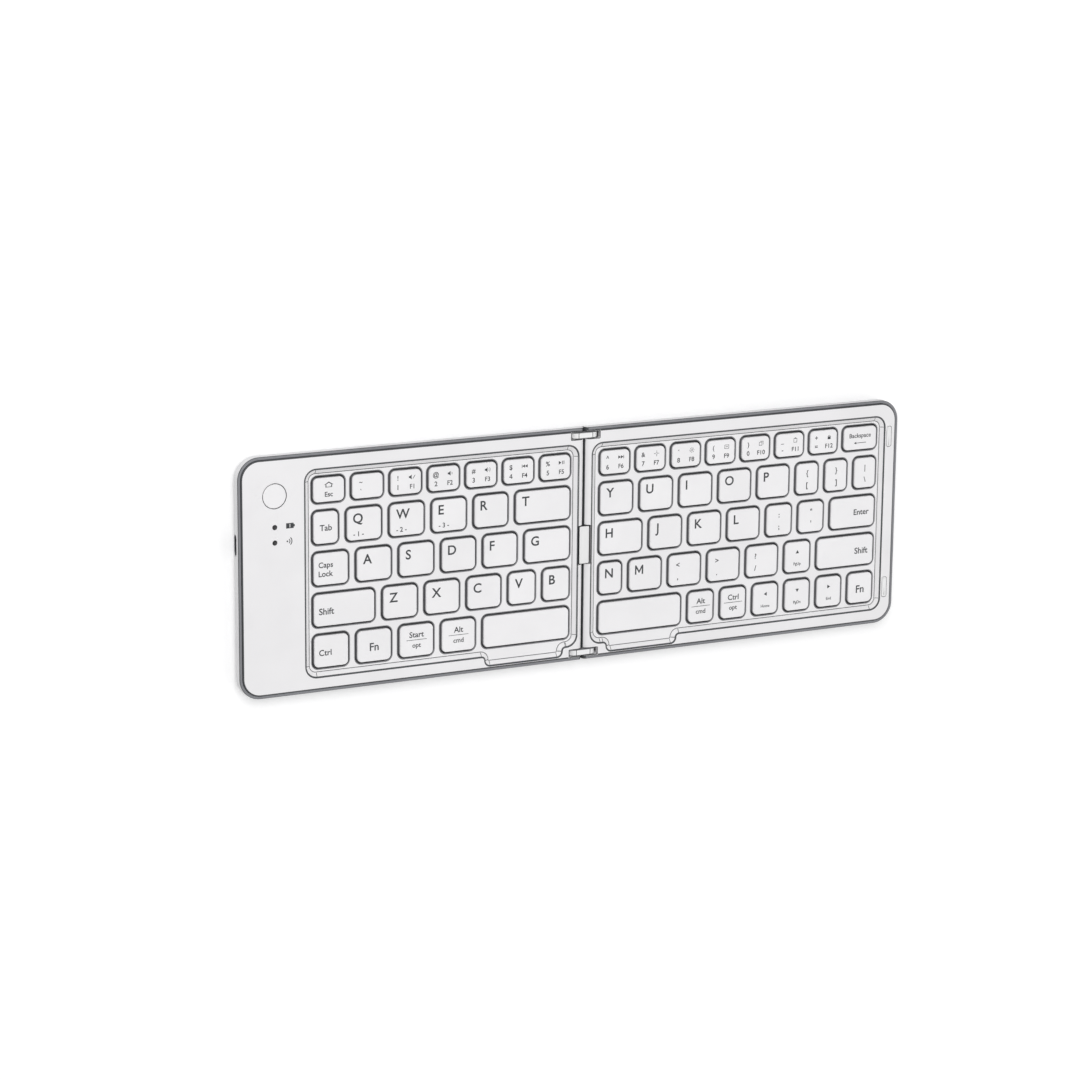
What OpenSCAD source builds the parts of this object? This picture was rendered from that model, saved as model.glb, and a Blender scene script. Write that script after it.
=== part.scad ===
// Folding keyboard: two key halves joined by a double-pivot hinge.
// X runs to the right, Y to the rear (number row) and Z up, in millimetres.
// The origin lies under the middle of the open keyboard, on the table.
// Each half is drawn outward from the fold line, and the left one is mirrored.

/* [Case] */
// Width of the left half, from its outer edge to the fold line
left_w = 154; // [140:1:170]
// How much shorter the right half is than the left one
half_step = 2; // [0:0.5:2.5]
// Depth of the keyboard from front to rear
case_d = 99; // [90:0.5:110]
// Height of the rims above the table
case_h = 8; // [7.9:0.1:9]
// Radius of the four outer corners
corner_r = 9; // [7:0.5:11]
// Thickness of the bottom cover's floor
floor_t = 1; // [0.9:0.1:1.2]
// Width of the bottom cover's lip, seen round the top cover
lip_w = 1.2; // [0.8:0.1:1.4]
// Step from the rim down to that lip
lip_drop = 0.5; // [0.4:0.1:0.9]
// Width of the bevel on the lip's outer edge
lip_bevel = 0.4; // [0.3:0.1:0.6]
// Width by which the bottom cover tapers in below
tuck_w = 2; // [1:0.1:2.1]
// Height of that taper
tuck_h = 2.4; // [2.2:0.1:3]
// Width of the ledge that carries the top cover
ledge_w = 1; // [0.6:0.1:1.1]
// Thickness of the top cover at its rim
rim_t = 1.2; // [1.1:0.1:1.4]
// Gap between the lip and the top cover
cover_gap = 0.1; // [0.05:0.05:0.2]
// Height of the end wall along the fold, above the floor
end_wall_h = 1.8; // [1.2:0.1:2]
// Thickness of that end wall
end_wall_t = 1.2; // [0.8:0.1:1.4]

/* [Key wells] */
// Width of the blank strip outside the left well
strip_w = 28.5; // [27:0.5:34]
// Width of the rim outside the right well
margin_w = 6.7; // [6.5:0.1:9]
// Depth of the well floor below the rim
well_h = 1.4; // [1.1:0.1:1.6]
// Width of the well's sloping wall
slope_w = 1.8; // [1:0.1:2]
// Corner radius of a well at the rim
well_r = 4.8; // [4:0.2:6]
// Thickness of the deck, which is the well's pierced floor
deck_t = 1.2; // [1:0.1:1.4]
// Wall below the sloping wall, outside the well
well_wall = 1; // [0.6:0.1:1.2]
// Space between the well's rim line and the keys, left and right
key_margin_x = 3.5; // [3:0.1:4]
// Space between the well's rim line and the keys, front and rear
key_margin_y = 3.4; // [2.8:0.1:3.6]
// Reach of the thumb relief in front of the well
relief_d = 4; // [3:0.1:4.1]
// Corner radius of the thumb relief at the rim
relief_r = 2.4; // [2:0.1:3]
// Start of the left thumb relief, from the fold line
left_relief_u = 10; // [9.5:0.5:14]
// Start of the right thumb relief, from the fold line
right_relief_u = 10.9; // [9.5:0.5:14]
// Length of the left thumb relief
left_relief_w = 35.6; // [30:0.2:38]
// Length of the right thumb relief
right_relief_w = 33.1; // [30:0.2:38]

/* [Keys] */
// Fold line to the first left key cell
left_key_in = 6.5; // [6.5:0.1:8]
// Fold line to the first right key cell
right_key_in = 7.2; // [6.5:0.1:8]
// Front edge of the case to the front row
front_margin = 9.75; // [9.5:0.05:10.5]
// Rear edge of the case to the number row
rear_margin = 10.35; // [10:0.05:11]
// Depth of a number key's cell
number_d = 10.7; // [10:0.1:11]
// Gap between the cells of two rows
row_gap = 3.15; // [3:0.05:3.3]
// Gap between the cells of one row
key_gap = 3.3; // [3:0.1:3.6]
// Gap between the cells of the number row
number_gap = 2.8; // [2.6:0.1:3.2]
// Width of the T key, beside the fold
t_w = 25.3; // [22:0.1:26]
// Width of the three bracket keys
bracket_w = 11.15; // [11:0.05:12.5]
// Width of the tab key
tab_w = 11.3; // [11:0.1:13]
// Width of the left shift key
shift_w = 27.2; // [26.5:0.1:29]
// Width of the first key right of the fold, home row
home_w = 20.3; // [18:0.1:21]
// Width of the two punctuation keys before enter
punct_w = 12.6; // [11.5:0.1:13]
// Width of the first key right of the fold, lower row
lower_w = 10.9; // [10.8:0.1:12]
// Width of the up-arrow key
up_w = 12.8; // [11.5:0.1:13]
// Width of the small keys in the right front row
small_w = 12.55; // [11.5:0.05:13]
// How much wider backspace is than a number key
backspace_more = 2.95; // [1:0.05:5]
// Corner radius of a key's cell
key_r = 2.4; // [2:0.1:2.8]
// Gap all round a keycap in its hole
key_clear = 0.7; // [0.5:0.05:0.8]
// Keycap tops below the rim
key_drop = 0.5; // [0.3:0.05:0.6]
// Height of a keycap
key_h = 2.9; // [2.7:0.1:3]
// Thickness of a keycap's skirt
skirt_t = 0.9; // [0.6:0.1:1]
// Thickness of a keycap's top
cap_t = 0.8; // [0.6:0.1:1]

/* [Key switches] */
// Thickness of the steel base plate
plate_t = 0.5; // [0.4:0.1:0.6]
// Thickness of the contact membrane
membrane_t = 0.3; // [0.2:0.05:0.35]
// Thickness of the rubber sheet between the domes
sheet_t = 0.25; // [0.2:0.05:0.3]
// Radius of a rubber dome at its foot
dome_r = 2.4; // [1.8:0.1:2.4]
// Wall of a rubber dome
dome_t = 0.45; // [0.3:0.05:0.5]
// Radius of a keycap's plunger
plunger_r = 1.3; // [0.9:0.1:1.4]
// Gap between the plunger and the dome
plunger_gap = 0.1; // [0.05:0.05:0.2]
// Greatest width of a scissor frame
scissor_w = 8.6; // [7:0.1:8.6]
// Room that a key cell keeps round its scissor frame
scissor_room = 4.3; // [4.2:0.1:4.8]
// Width of a scissor frame's bars
bar_w = 0.6; // [0.5:0.05:0.7]
// Thickness of a scissor frame
bar_t = 0.6; // [0.5:0.05:0.6]
// Play between the two crossed frames
frame_play = 0.15; // [0.1:0.05:0.2]
// Keys wider than this have two scissor pairs
wide_key_w = 26; // [25.8:0.1:27]
// Height of the lugs that hold the scissor frames, above the plate
lug_h = 1; // [0.8:0.1:1]
// Length of a lug
lug_w = 2; // [1.5:0.1:2.4]
// Thickness of a lug
lug_t = 0.5; // [0.4:0.1:0.6]

/* [Hinge] */
// Distance from the fold line to each pivot
pivot_x = 3.2; // [3:0.1:3.3]
// Gap between the halves, both open and folded
fold_gap = 0.4; // [0.3:0.05:0.6]
// Radius of the hinge pins
pin_r = 0.8; // [0.7:0.05:0.9]
// Running gap round the pins
pin_clear = 0.05; // [0.03:0.01:0.08]
// Length of a hinge pin
pin_len = 10.6; // [8:0.2:14]
// Thickness of a link plate
link_t = 2.5; // [2:0.1:2.6]
// Middle of a link plate from the front or rear of the case
link_in = 3.2; // [3.1:0.1:3.6]
// Side gap of a link plate in its notch
link_side = 0.2; // [0.15:0.05:0.3]
// Gap round the end of a link plate
link_clear = 0.3; // [0.25:0.05:0.4]
// Length of the cut-out for the cable sleeve
sleeve_cut_d = 16.7; // [14:0.1:20]
// Middle of that cut-out, in front of the case's middle
sleeve_cut_y = 0.25; // [0:0.05:2]
// Width of the cable sleeve's crown
sleeve_w = 4.6; // [4:0.1:5]
// Gap at the two ends of the sleeve
sleeve_end = 0.35; // [0.2:0.05:0.6]
// Wall of the cable sleeve
sleeve_t = 0.6; // [0.4:0.05:0.7]
// Crown of the sleeve below the rim
sleeve_drop = 0.3; // [0.2:0.05:0.6]
// Width of each foot of the sleeve, under the deck
sleeve_foot = 3; // [2:0.1:3.2]
// Width of the flat cable
ribbon_d = 10.5; // [8:0.5:14]
// Thickness of the flat cable
ribbon_t = 0.15; // [0.1:0.05:0.2]
// Length of the flat cable that lies on each half's rubber sheet
ribbon_lap = 5; // [3:0.5:5]

/* [Fittings] */
// Radius of the connect button
button_r = 4.95; // [4:0.05:5.5]
// Gap round the connect button
button_gap = 0.25; // [0.15:0.05:0.3]
// Connect button to the left edge of the case
button_in = 15.45; // [14:0.05:17]
// Connect button to the rear edge of the case
button_back = 16.2; // [14:0.1:18]
// Travel of the connect button
button_travel = 0.4; // [0.2:0.1:0.5]
// Radius of the indicator light pipes
light_r = 1; // [0.8:0.1:1.2]
// Button to the first indicator
light_first = 12.7; // [11:0.1:14]
// Pitch of the two indicators
light_pitch = 6.3; // [5:0.1:8]
// Width of the bumper pads on the right rim
bumper_w = 2.2; // [2:0.05:2.4]
// Length of the bumper pads
bumper_d = 8.8; // [6:0.1:10]
// Bumper pads to the right edge of the case
bumper_in = 4.45; // [4.2:0.05:4.5]
// Middle of a bumper pad from the front or rear edge
bumper_edge = 16; // [15.5:0.5:20]
// Gap round a bumper pad in its recess
bumper_gap = 0.15; // [0.05:0.05:0.2]
// Height of the bumper pads above the rim
bumper_proud = 0.2; // [0.1:0.05:0.3]
// Depth of the bumper pads' recess
bumper_sink = 0.5; // [0.3:0.1:0.6]
// Thickness of the magnets under the rim
magnet_t = 1.3; // [1:0.1:1.3]
// Radius of the feet
foot_r = 4; // [3:0.5:4.5]
// Height of the case floor above the table
foot_h = 0.6; // [0.5:0.05:0.9]
// Depth of the feet's recess in the floor
foot_sink = 0.4; // [0.2:0.05:0.5]
// Feet from the front or rear edge
foot_edge = 13.5; // [12.5:0.5:20]
// Inner feet from the fold line
foot_in = 16; // [12:1:30]
// Outer feet from the outer edge
foot_out = 16; // [14:1:30]
// Radius of a screw's thread
screw_r = 0.75; // [0.7:0.05:0.85]
// Length of a screw below its head
screw_len = 4.3; // [3.5:0.1:4.4]
// Radius of a screw's head
head_r = 1.5; // [1.3:0.1:1.6]
// Height of a screw's head
head_h = 0.6; // [0.5:0.05:0.6]
// Radius of a screw boss in the top cover
boss_r = 1.8; // [1.6:0.1:1.8]
// Corner screws from the outer edge of a half
screw_out = 4.6; // [4.5:0.1:4.7]
// Screws from the front or rear edge at the corners
screw_corner = 8; // [7.6:0.1:9]
// Screws from the front or rear edge along the sides
screw_side = 4.2; // [4.1:0.05:4.3]
// Front screw from the fold line
front_screw_u = 52; // [48:1:70]
// Rear screws from the fold line
rear_screws_u = [14, 75];
// Wall of the sockets round the screw bosses
socket_wall = 0.5; // [0.4:0.05:0.6]

/* [Electronics] */
// Thickness of the circuit board
board_t = 1; // [0.8:0.1:1.2]
// Height of the circuit board above the floor
board_up = 1.4; // [1.2:0.1:1.6]
// Gap between the well's wall and the circuit board
board_in = 2.5; // [2.2:0.1:3]
// Gap between the side wall and the circuit board
board_out = 1.3; // [1:0.1:2]
// Front edge of the circuit board, behind the middle of the case
board_front = 4; // [2:0.5:6]
// Gap between a screw boss and the board or the battery
boss_gap = 0.7; // [0.5:0.1:1]
// Width of the charge port
port_w = 8.94; // [8.9:0.02:9.1]
// Height of the charge port
port_h = 3.26; // [3.2:0.02:3.3]
// Length of the charge port
port_len = 7.3; // [7:0.1:8]
// Sheet thickness of the charge port
port_t = 0.3; // [0.2:0.05:0.35]
// Middle of the charge port from the board's front edge
port_in = 10; // [8:0.5:14]
// Gap round the charge port in the case wall
port_gap = 0.2; // [0.1:0.05:0.3]
// Room for the leads between the battery and the board
lead_room = 5; // [3:0.5:8]
// Thickness of the battery
battery_t = 3.6; // [3:0.1:3.7]

/* [Hidden] */
$fn = 36;
over = 1;

// Heights of the layers
floor_z = foot_h + floor_t;
lip_z = case_h - lip_drop;
ledge_z = case_h - rim_t;
deck_z = case_h - well_h;
deck_low = deck_z - deck_t;
plate_z = floor_z + plate_t;
membrane_z = plate_z + membrane_t;
sheet_z = membrane_z + sheet_t;
cap_z = case_h - key_drop;
cap_low = cap_z - key_h;
cap_in_z = cap_z - cap_t;
bar_low = sheet_z + bar_t / 2 + 0.05;
bar_high = cap_in_z - 1.4;
plunger_z = cap_low + 0.4;
dome_z = plunger_z - plunger_gap;
board_z = floor_z + board_up;
board_top = board_z + board_t;

// The fold: each half's upper edge is rounded about its pivot
edge_r = pivot_x - fold_gap / 2;
pivot_z = case_h - edge_r;
link_y = case_d / 2 - link_in;
split_x = half_step / 2;
inner_y = case_d / 2 - lip_w - ledge_w;

// The two halves
function half_w(h) = h == "left" ? left_w : left_w - half_step;
function key_in(h) = h == "left" ? left_key_in : right_key_in;
function relief_u(h) = h == "left" ? left_relief_u : right_relief_u;
function relief_w(h) = h == "left" ? left_relief_w : right_relief_w;
function well_end(h) = half_w(h) - (h == "left" ? strip_w : margin_w);
function field_w(h) = well_end(h) - key_margin_x - key_in(h);

// Rows of key cells from front to rear, each counted outward from the fold line
ROWS = ["front", "lower", "home", "upper", "number"];
key_d = (case_d - front_margin - rear_margin - number_d - 4 * row_gap) / 4;

function total(v, n) = n == 0 ? 0 : v[n - 1] + total(v, n - 1);
function repeat(value, count) = [for (i = [1 : count]) value];
function rest(h, fixed, count, gap) =
    (field_w(h) - total(fixed, len(fixed)) - (len(fixed) + count - 1) * gap) / count;
function row_y(row) = front_margin - case_d / 2 + search([row], ROWS)[0] * (key_d + row_gap);
function row_d(row) = row == "number" ? number_d : key_d;
function gap_of(row) = row == "number" ? number_gap : key_gap;
function with_rest_first(h, fixed, count) = concat(repeat(rest(h, fixed, count, key_gap), count), fixed);
function with_rest_last(h, fixed) = concat(fixed, [rest(h, fixed, 1, key_gap)]);

left_letter_w = rest("left", [tab_w, t_w], 4, key_gap);
right_letter_w = rest("right", repeat(bracket_w, 3), 5, key_gap);
right_number_w = rest("right", [backspace_more], 8, number_gap) + number_gap / 8;

function left_widths(row) =
    row == "front" ? with_rest_first("left", repeat(left_letter_w, 4), 1)
    : row == "lower" ? with_rest_first("left", concat(repeat(left_letter_w, 3), [shift_w]), 2)
    : row == "home" ? with_rest_first("left", repeat(left_letter_w, 5), 1)
    : row == "upper" ? concat([t_w], repeat(left_letter_w, 4), [tab_w])
    : repeat(rest("left", [], 7, number_gap), 7);
function right_widths(row) =
    row == "front" ? with_rest_first("right", repeat(small_w, 6), 1)
    : row == "lower" ? with_rest_last("right", concat([lower_w], repeat(right_letter_w, 4), [up_w]))
    : row == "home" ? with_rest_last("right",
        concat([home_w], repeat(right_letter_w, 3), repeat(punct_w, 2)))
    : row == "upper" ? concat(repeat(right_letter_w, 5), repeat(bracket_w, 3))
    : concat(repeat(right_number_w, 7), [right_number_w + backspace_more]);
function widths(h, row) = h == "left" ? left_widths(row) : right_widths(row);

// One cell is [distance from the fold, front edge, width, depth]
function row_cells(h, row) = let (w = widths(h, row)) [
    for (i = [0 : len(w) - 1]) [key_in(h) + total(w, i) + i * gap_of(row), row_y(row), w[i], row_d(row)]
];
function all_cells(h) = [for (row = ROWS) each row_cells(h, row)];

well_y = [row_y("front") - key_margin_y, row_y("number") + number_d + key_margin_y];

function frame_w(c) = min(scissor_w, c[2] - scissor_room);
function frame_d(c) = c[3] - scissor_room;
function frames_at(c) = c[2] > wide_key_w ? [-c[2] / 4, c[2] / 4] : [0];
function dome_foot(c) =
    min(dome_r, frame_w(c) / 2 - 2 * bar_w - frame_play - 0.1, frame_d(c) / 2 - bar_w - 0.2);

// Keycap nodes: name, half, row, first cell and last cell from the fold
KEYS = [
    ["key_space_left", "left", "front", 0, 0],
    ["keys_ctrl_fn_start_alt", "left", "front", 1, 4],
    ["keys_v_b", "left", "lower", 0, 1],
    ["keys_z_x_c", "left", "lower", 2, 4],
    ["key_shift_left", "left", "lower", 5, 5],
    ["key_g", "left", "home", 0, 0],
    ["keys_a_s_d_f", "left", "home", 1, 4],
    ["key_caps_lock", "left", "home", 5, 5],
    ["key_t", "left", "upper", 0, 0],
    ["keys_q_w_e_r", "left", "upper", 1, 4],
    ["key_tab", "left", "upper", 5, 5],
    ["keys_1_to_5", "left", "number", 0, 5],
    ["key_escape", "left", "number", 6, 6],
    ["key_space_right", "right", "front", 0, 0],
    ["keys_alt_ctrl", "right", "front", 1, 2],
    ["keys_left_down_right", "right", "front", 3, 5],
    ["key_fn_right", "right", "front", 6, 6],
    ["key_n", "right", "lower", 0, 0],
    ["keys_m_comma_dot_slash", "right", "lower", 1, 4],
    ["key_up", "right", "lower", 5, 5],
    ["key_shift_right", "right", "lower", 6, 6],
    ["key_h", "right", "home", 0, 0],
    ["keys_j_k_l", "right", "home", 1, 3],
    ["keys_semicolon_quote", "right", "home", 4, 5],
    ["key_enter", "right", "home", 6, 6],
    ["keys_y_u_i_o_p", "right", "upper", 0, 4],
    ["keys_brackets", "right", "upper", 5, 7],
    ["keys_6_to_equals", "right", "number", 0, 6],
    ["key_backspace", "right", "number", 7, 7]
];

// Places a half's geometry: outward from the fold line becomes -X on the left
module on_half(h) {
    translate([split_x, 0, 0]) mirror([h == "left" ? 1 : 0, 0, 0]) children();
}

module rounded_rect(w, d, r) {
    translate([r, 0]) square([w - 2 * r, d]);
    translate([0, r]) square([w, d - 2 * r]);
    for (x = [r, w - r], y = [r, d - r]) translate([x, y]) circle(r);
}

module rounded_slab(u, y, w, d, r, z0, z1) {
    translate([u, y, z0]) linear_extrude(z1 - z0) rounded_rect(w, d, r);
}

module block(u0, u1, y0, y1, z0, z1) {
    translate([u0, y0, z0]) cube([u1 - u0, y1 - y0, z1 - z0]);
}

module post(u, y, r, z0, z1) {
    translate([u, y, z0]) cylinder(r = r, h = z1 - z0);
}

// Outline of a half with its outer corners rounded, from z0 to z1
module half_slab(h, u0, inset, z0, z1) {
    reach = case_d / 2 - inset;
    translate([0, 0, z0]) linear_extrude(z1 - z0) {
        translate([u0, -reach]) square([half_w(h) - corner_r - u0, 2 * reach]);
        translate([u0, corner_r - case_d / 2])
            square([half_w(h) - inset - u0, case_d - 2 * corner_r]);
        for (s = [-1, 1]) translate([half_w(h) - corner_r, s * (case_d / 2 - corner_r)])
            circle(corner_r - inset);
    }
}

// The same outline, with straight sloping sides between two insets
module half_taper(h, u0, inset0, inset1, z0, z1) {
    rise = z1 - z0;
    flat_u = half_w(h) - corner_r;
    y0 = case_d / 2 - inset0;
    y1 = case_d / 2 - inset1;
    translate([0, 0, z0]) {
        translate([u0, 0, 0]) rotate([90, 0, 90]) linear_extrude(flat_u - u0)
            polygon([[-y0, 0], [y0, 0], [y1, rise], [-y1, rise]]);
        translate([0, case_d / 2 - corner_r, 0]) rotate([90, 0, 0]) linear_extrude(case_d - 2 * corner_r)
            polygon([[u0, 0], [half_w(h) - inset0, 0], [half_w(h) - inset1, rise], [u0, rise]]);
        for (s = [-1, 1]) translate([flat_u, s * (case_d / 2 - corner_r), 0])
            cylinder(r1 = corner_r - inset0, r2 = corner_r - inset1, h = rise);
    }
}

// Runs a profile drawn in X and Z along Y, between y0 and y1
module along_y(y0, y1) {
    translate([0, y1, 0]) rotate([90, 0, 0]) linear_extrude(y1 - y0) children();
}

// What the fold needs cut away above and beside the pivot
module fold_waste() {
    along_y(-case_d, case_d) difference() {
        translate([-over, pivot_z]) square([pivot_x + over, edge_r + over]);
        translate([pivot_x, pivot_z]) circle(edge_r);
    }
}

// Notches for the two link plates, open above because the links swing up
module link_notches() {
    for (s = [-1, 1])
        block(-over, pivot_x + edge_r + link_clear,
            s * link_y - link_t / 2 - link_side, s * link_y + link_t / 2 + link_side,
            pivot_z - edge_r - link_clear, case_h + over);
}

sleeve_y0 = -sleeve_cut_y - sleeve_cut_d / 2;
sleeve_y1 = -sleeve_cut_y + sleeve_cut_d / 2;

// Way through for the flat cable and its sleeve
module cable_way() {
    block(-over, pivot_x, sleeve_y0, sleeve_y1, foot_h + floor_t + end_wall_h, case_h + over);
    block(-over, pivot_x + edge_r + over, sleeve_y0, sleeve_y1, floor_z, deck_low - 0.2);
}

function screw_places(h) = [
    [half_w(h) - screw_out, case_d / 2 - screw_corner],
    [half_w(h) - screw_out, screw_corner - case_d / 2],
    [front_screw_u, screw_side - case_d / 2],
    for (u = rear_screws_u) [u, case_d / 2 - screw_side]
];
function foot_places(h) = [
    for (u = [foot_in, half_w(h) - foot_out], s = [-1, 1]) [u, s * (case_d / 2 - foot_edge)]
];
magnet_places = [
    for (s = [-1, 1]) [half_w("right") - bumper_in, s * (case_d / 2 - bumper_edge)]
];

head_z = foot_h + 0.1;
bearing_z = head_z + head_h;
stand_z = floor_z + 0.7;

// Tray that carries everything in a half
module bottom_cover(h) {
    difference() {
        union() {
            difference() {
                union() {
                    half_taper(h, fold_gap / 2, tuck_w, 0, foot_h, foot_h + tuck_h);
                    half_slab(h, fold_gap / 2, 0, foot_h + tuck_h, lip_z - lip_bevel);
                    half_taper(h, fold_gap / 2, 0, lip_bevel, lip_z - lip_bevel, lip_z);
                }
                half_slab(h, fold_gap / 2 + end_wall_t, lip_w + ledge_w, floor_z, case_h);
                half_slab(h, -over, lip_w + ledge_w, floor_z + end_wall_h, case_h);
                half_slab(h, -over, lip_w, ledge_z, case_h);
            }
            for (p = screw_places(h)) post(p[0], p[1], boss_r + socket_wall, floor_z, stand_z);
            if (h == "left") for (p = board_posts) post(p[0], p[1], 1.5, floor_z, board_z);
        }
        translate([pivot_x, 0, pivot_z]) rotate([90, 0, 0])
            cylinder(r = edge_r + 0.15, h = 2 * inner_y, center = true);
        fold_waste();
        link_notches();
        for (p = screw_places(h)) {
            post(p[0], p[1], head_r + 0.15, foot_h - over, bearing_z);
            post(p[0], p[1], screw_r + 0.2, foot_h, stand_z + over);
        }
        for (p = foot_places(h)) post(p[0], p[1], foot_r, foot_h - over, foot_h + foot_sink);
        if (h == "left") port_slot();
    }
}

// Rounded pocket with sloping walls, from the deck up through the rim
module sloped_pocket(u0, u1, y0, y1, r) {
    up = well_h + 0.5;
    out = slope_w * 0.5 / well_h;
    wide = r + out;
    low = r - slope_w;
    translate([0, 0, deck_z]) {
        for (u = [u0 + r, u1 - r], y = [y0 + r, y1 - r])
            translate([u, y, 0]) cylinder(r1 = low, r2 = wide, h = up);
        translate([u0 + r, 0, 0]) rotate([90, 0, 90]) linear_extrude(u1 - u0 - 2 * r)
            polygon([[y0 + slope_w, 0], [y1 - slope_w, 0], [y1 + out, up], [y0 - out, up]]);
        translate([0, y1 - r, 0]) rotate([90, 0, 0]) linear_extrude(y1 - y0 - 2 * r)
            polygon([[u0 + slope_w, 0], [u1 - slope_w, 0], [u1 + out, up], [u0 - out, up]]);
    }
}

module key_hole(c) {
    grow = key_clear / 2;
    rounded_slab(c[0] - grow, c[1] - grow, c[2] + key_clear, c[3] + key_clear, key_r + grow,
        deck_low - over, deck_z + over);
}

// Rim, sloping walls and pierced deck in one moulding
module top_cover(h) {
    difference() {
        union() {
            half_slab(h, fold_gap / 2, lip_w + cover_gap, ledge_z, case_h);
            block(pivot_x - well_wall, well_end(h) + well_wall, well_y[0] - well_wall,
                well_y[1] + well_wall, deck_low, case_h);
            block(relief_u(h) - well_wall, relief_u(h) + relief_w(h) + well_wall,
                cover_gap - inner_y, well_y[0], deck_low, case_h);
            translate([pivot_x, 0, pivot_z]) rotate([90, 0, 0])
                cylinder(r = edge_r, h = 2 * (link_y - link_t / 2 - link_side), center = true);
            for (p = screw_places(h)) post(p[0], p[1], boss_r, stand_z, case_h - rim_t / 2);
            deck_posts(h);
        }
        fold_waste();
        link_notches();
        cable_way();
        for (s = [-1, 1]) pin_at(s, pin_r + pin_clear, pin_len + 0.2);
        sloped_pocket(pivot_x, well_end(h), well_y[0], well_y[1], well_r);
        sloped_pocket(relief_u(h), relief_u(h) + relief_w(h),
            well_y[0] - relief_d, well_y[0] + well_r, relief_r);
        for (c = all_cells(h)) key_hole(c);
        for (p = screw_places(h))
            post(p[0], p[1], screw_r + 0.05, stand_z - over, bearing_z + screw_len + 0.2);
        if (h == "left") {
            post(button_u, button_y, button_r + button_gap, ledge_z - over, case_h + over);
            for (y = light_ys) post(button_u, y, light_r + 0.03, ledge_z - over, case_h + over);
        }
        if (h == "right") for (p = magnet_places)
            bumper_shape(p, bumper_w + 2 * bumper_gap, bumper_d + 2 * bumper_gap,
                case_h - bumper_sink, case_h + over);
    }
}

// Posts under the deck's webs, standing on the rubber sheet
module deck_posts(h) {
    for (row = ["front", "lower", "home", "upper"], i = [1 : 3])
        post(key_in(h) + i * field_w(h) / 4, row_y(row) + key_d + row_gap / 2, 0.9, sheet_z, deck_z);
}

// A stack layer under the keys, with slots over the plate's lugs
module layer_plan(h, z0, z1) {
    edge = 0.5;
    block(pivot_x + edge_r + 2 * edge, well_end(h) - edge, well_y[0] + edge, well_y[1] - edge, z0, z1);
}

module at_lugs(h) {
    for (c = all_cells(h), x = frames_at(c), s = [-1, 1])
        translate([c[0] + c[2] / 2 + x, c[1] + c[3] / 2 + s * (frame_d(c) / 2 + 0.5), 0]) children();
}

module lug(grow, z0, z1) {
    block(-lug_w / 2 - grow, lug_w / 2 + grow, -lug_t / 2 - grow, lug_t / 2 + grow, z0, z1);
}

module base_plate(h) {
    layer_plan(h, floor_z, plate_z);
    at_lugs(h) lug(0, plate_z - plate_t / 2, plate_z + lug_h);
}

module membrane(h) {
    difference() {
        layer_plan(h, plate_z, membrane_z);
        at_lugs(h) lug(0.15, plate_z - over, membrane_z + over);
    }
}

// Rubber sheet with one hollow dome under each key
module rubber_domes(h) {
    difference() {
        layer_plan(h, membrane_z, sheet_z);
        at_lugs(h) lug(0.15, membrane_z - over, sheet_z + over);
    }
    for (c = all_cells(h)) {
        r = dome_foot(c);
        low = sheet_z - sheet_t / 2;
        translate([c[0] + c[2] / 2, c[1] + c[3] / 2, 0]) rotate_extrude() polygon([
            [r - dome_t, low], [r, low], [0.6 * r, dome_z], [0, dome_z], [0, dome_z - dome_t],
            [0.6 * r - dome_t, dome_z - dome_t]
        ]);
    }
}

// Two crossed frames under each key, an inner and an outer one
module scissors(h) {
    for (c = all_cells(h), x = frames_at(c))
        translate([c[0] + c[2] / 2 + x, c[1] + c[3] / 2, (bar_low + bar_high) / 2]) {
            tilt = asin((bar_high - bar_low) / frame_d(c));
            scissor_frame(frame_w(c), frame_d(c), tilt);
            scissor_frame(frame_w(c) - 2 * (bar_w + frame_play), frame_d(c), -tilt);
        }
}

module scissor_frame(w, d, tilt) {
    rotate([tilt, 0, 0]) difference() {
        cube([w, d, bar_t], center = true);
        cube([w - 2 * bar_w, d - 2 * bar_w, bar_t + over], center = true);
    }
}

// One hollow cap with its plunger and the two rails for the scissor frames
module keycap(c) {
    w = c[2] - key_clear;
    d = c[3] - key_clear;
    r = key_r - key_clear / 2;
    translate([c[0] + key_clear / 2, c[1] + key_clear / 2, 0]) {
        difference() {
            rounded_slab(0, 0, w, d, r, cap_low, cap_z);
            rounded_slab(skirt_t, skirt_t, w - 2 * skirt_t, d - 2 * skirt_t, r - skirt_t,
                cap_low - over, cap_in_z);
        }
        post(w / 2, d / 2, plunger_r, plunger_z, cap_in_z + cap_t / 2);
        for (x = frames_at(c), s = [-1, 1])
            translate([w / 2 + x, d / 2 + s * frame_d(c) / 2, 0])
                block(1 - frame_w(c) / 2, frame_w(c) / 2 - 1, -bar_w / 2, bar_w / 2,
                    bar_high + bar_t / 2 + 0.15, cap_in_z + cap_t / 2);
    }
}

module keycaps(h, row, first, last) {
    cells = row_cells(h, row);
    color("whitesmoke") on_half(h) for (i = [first : last]) keycap(cells[i]);
}

module screw(p) {
    post(p[0], p[1], head_r, head_z, bearing_z);
    post(p[0], p[1], screw_r, head_z, bearing_z + screw_len);
}

// Pins of one half's pivot: s is the front or rear end
module pin_at(s, r, len) {
    translate([pivot_x, s * (link_y + link_t / 2 + link_side / 2), pivot_z])
        rotate([s * 90, 0, 0]) cylinder(r = r, h = len);
}

module bumper_shape(p, w, d, z0, z1) {
    rounded_slab(p[0] - w / 2, p[1] - d / 2, w, d, w / 2 - 0.3, z0, z1);
}

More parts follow.
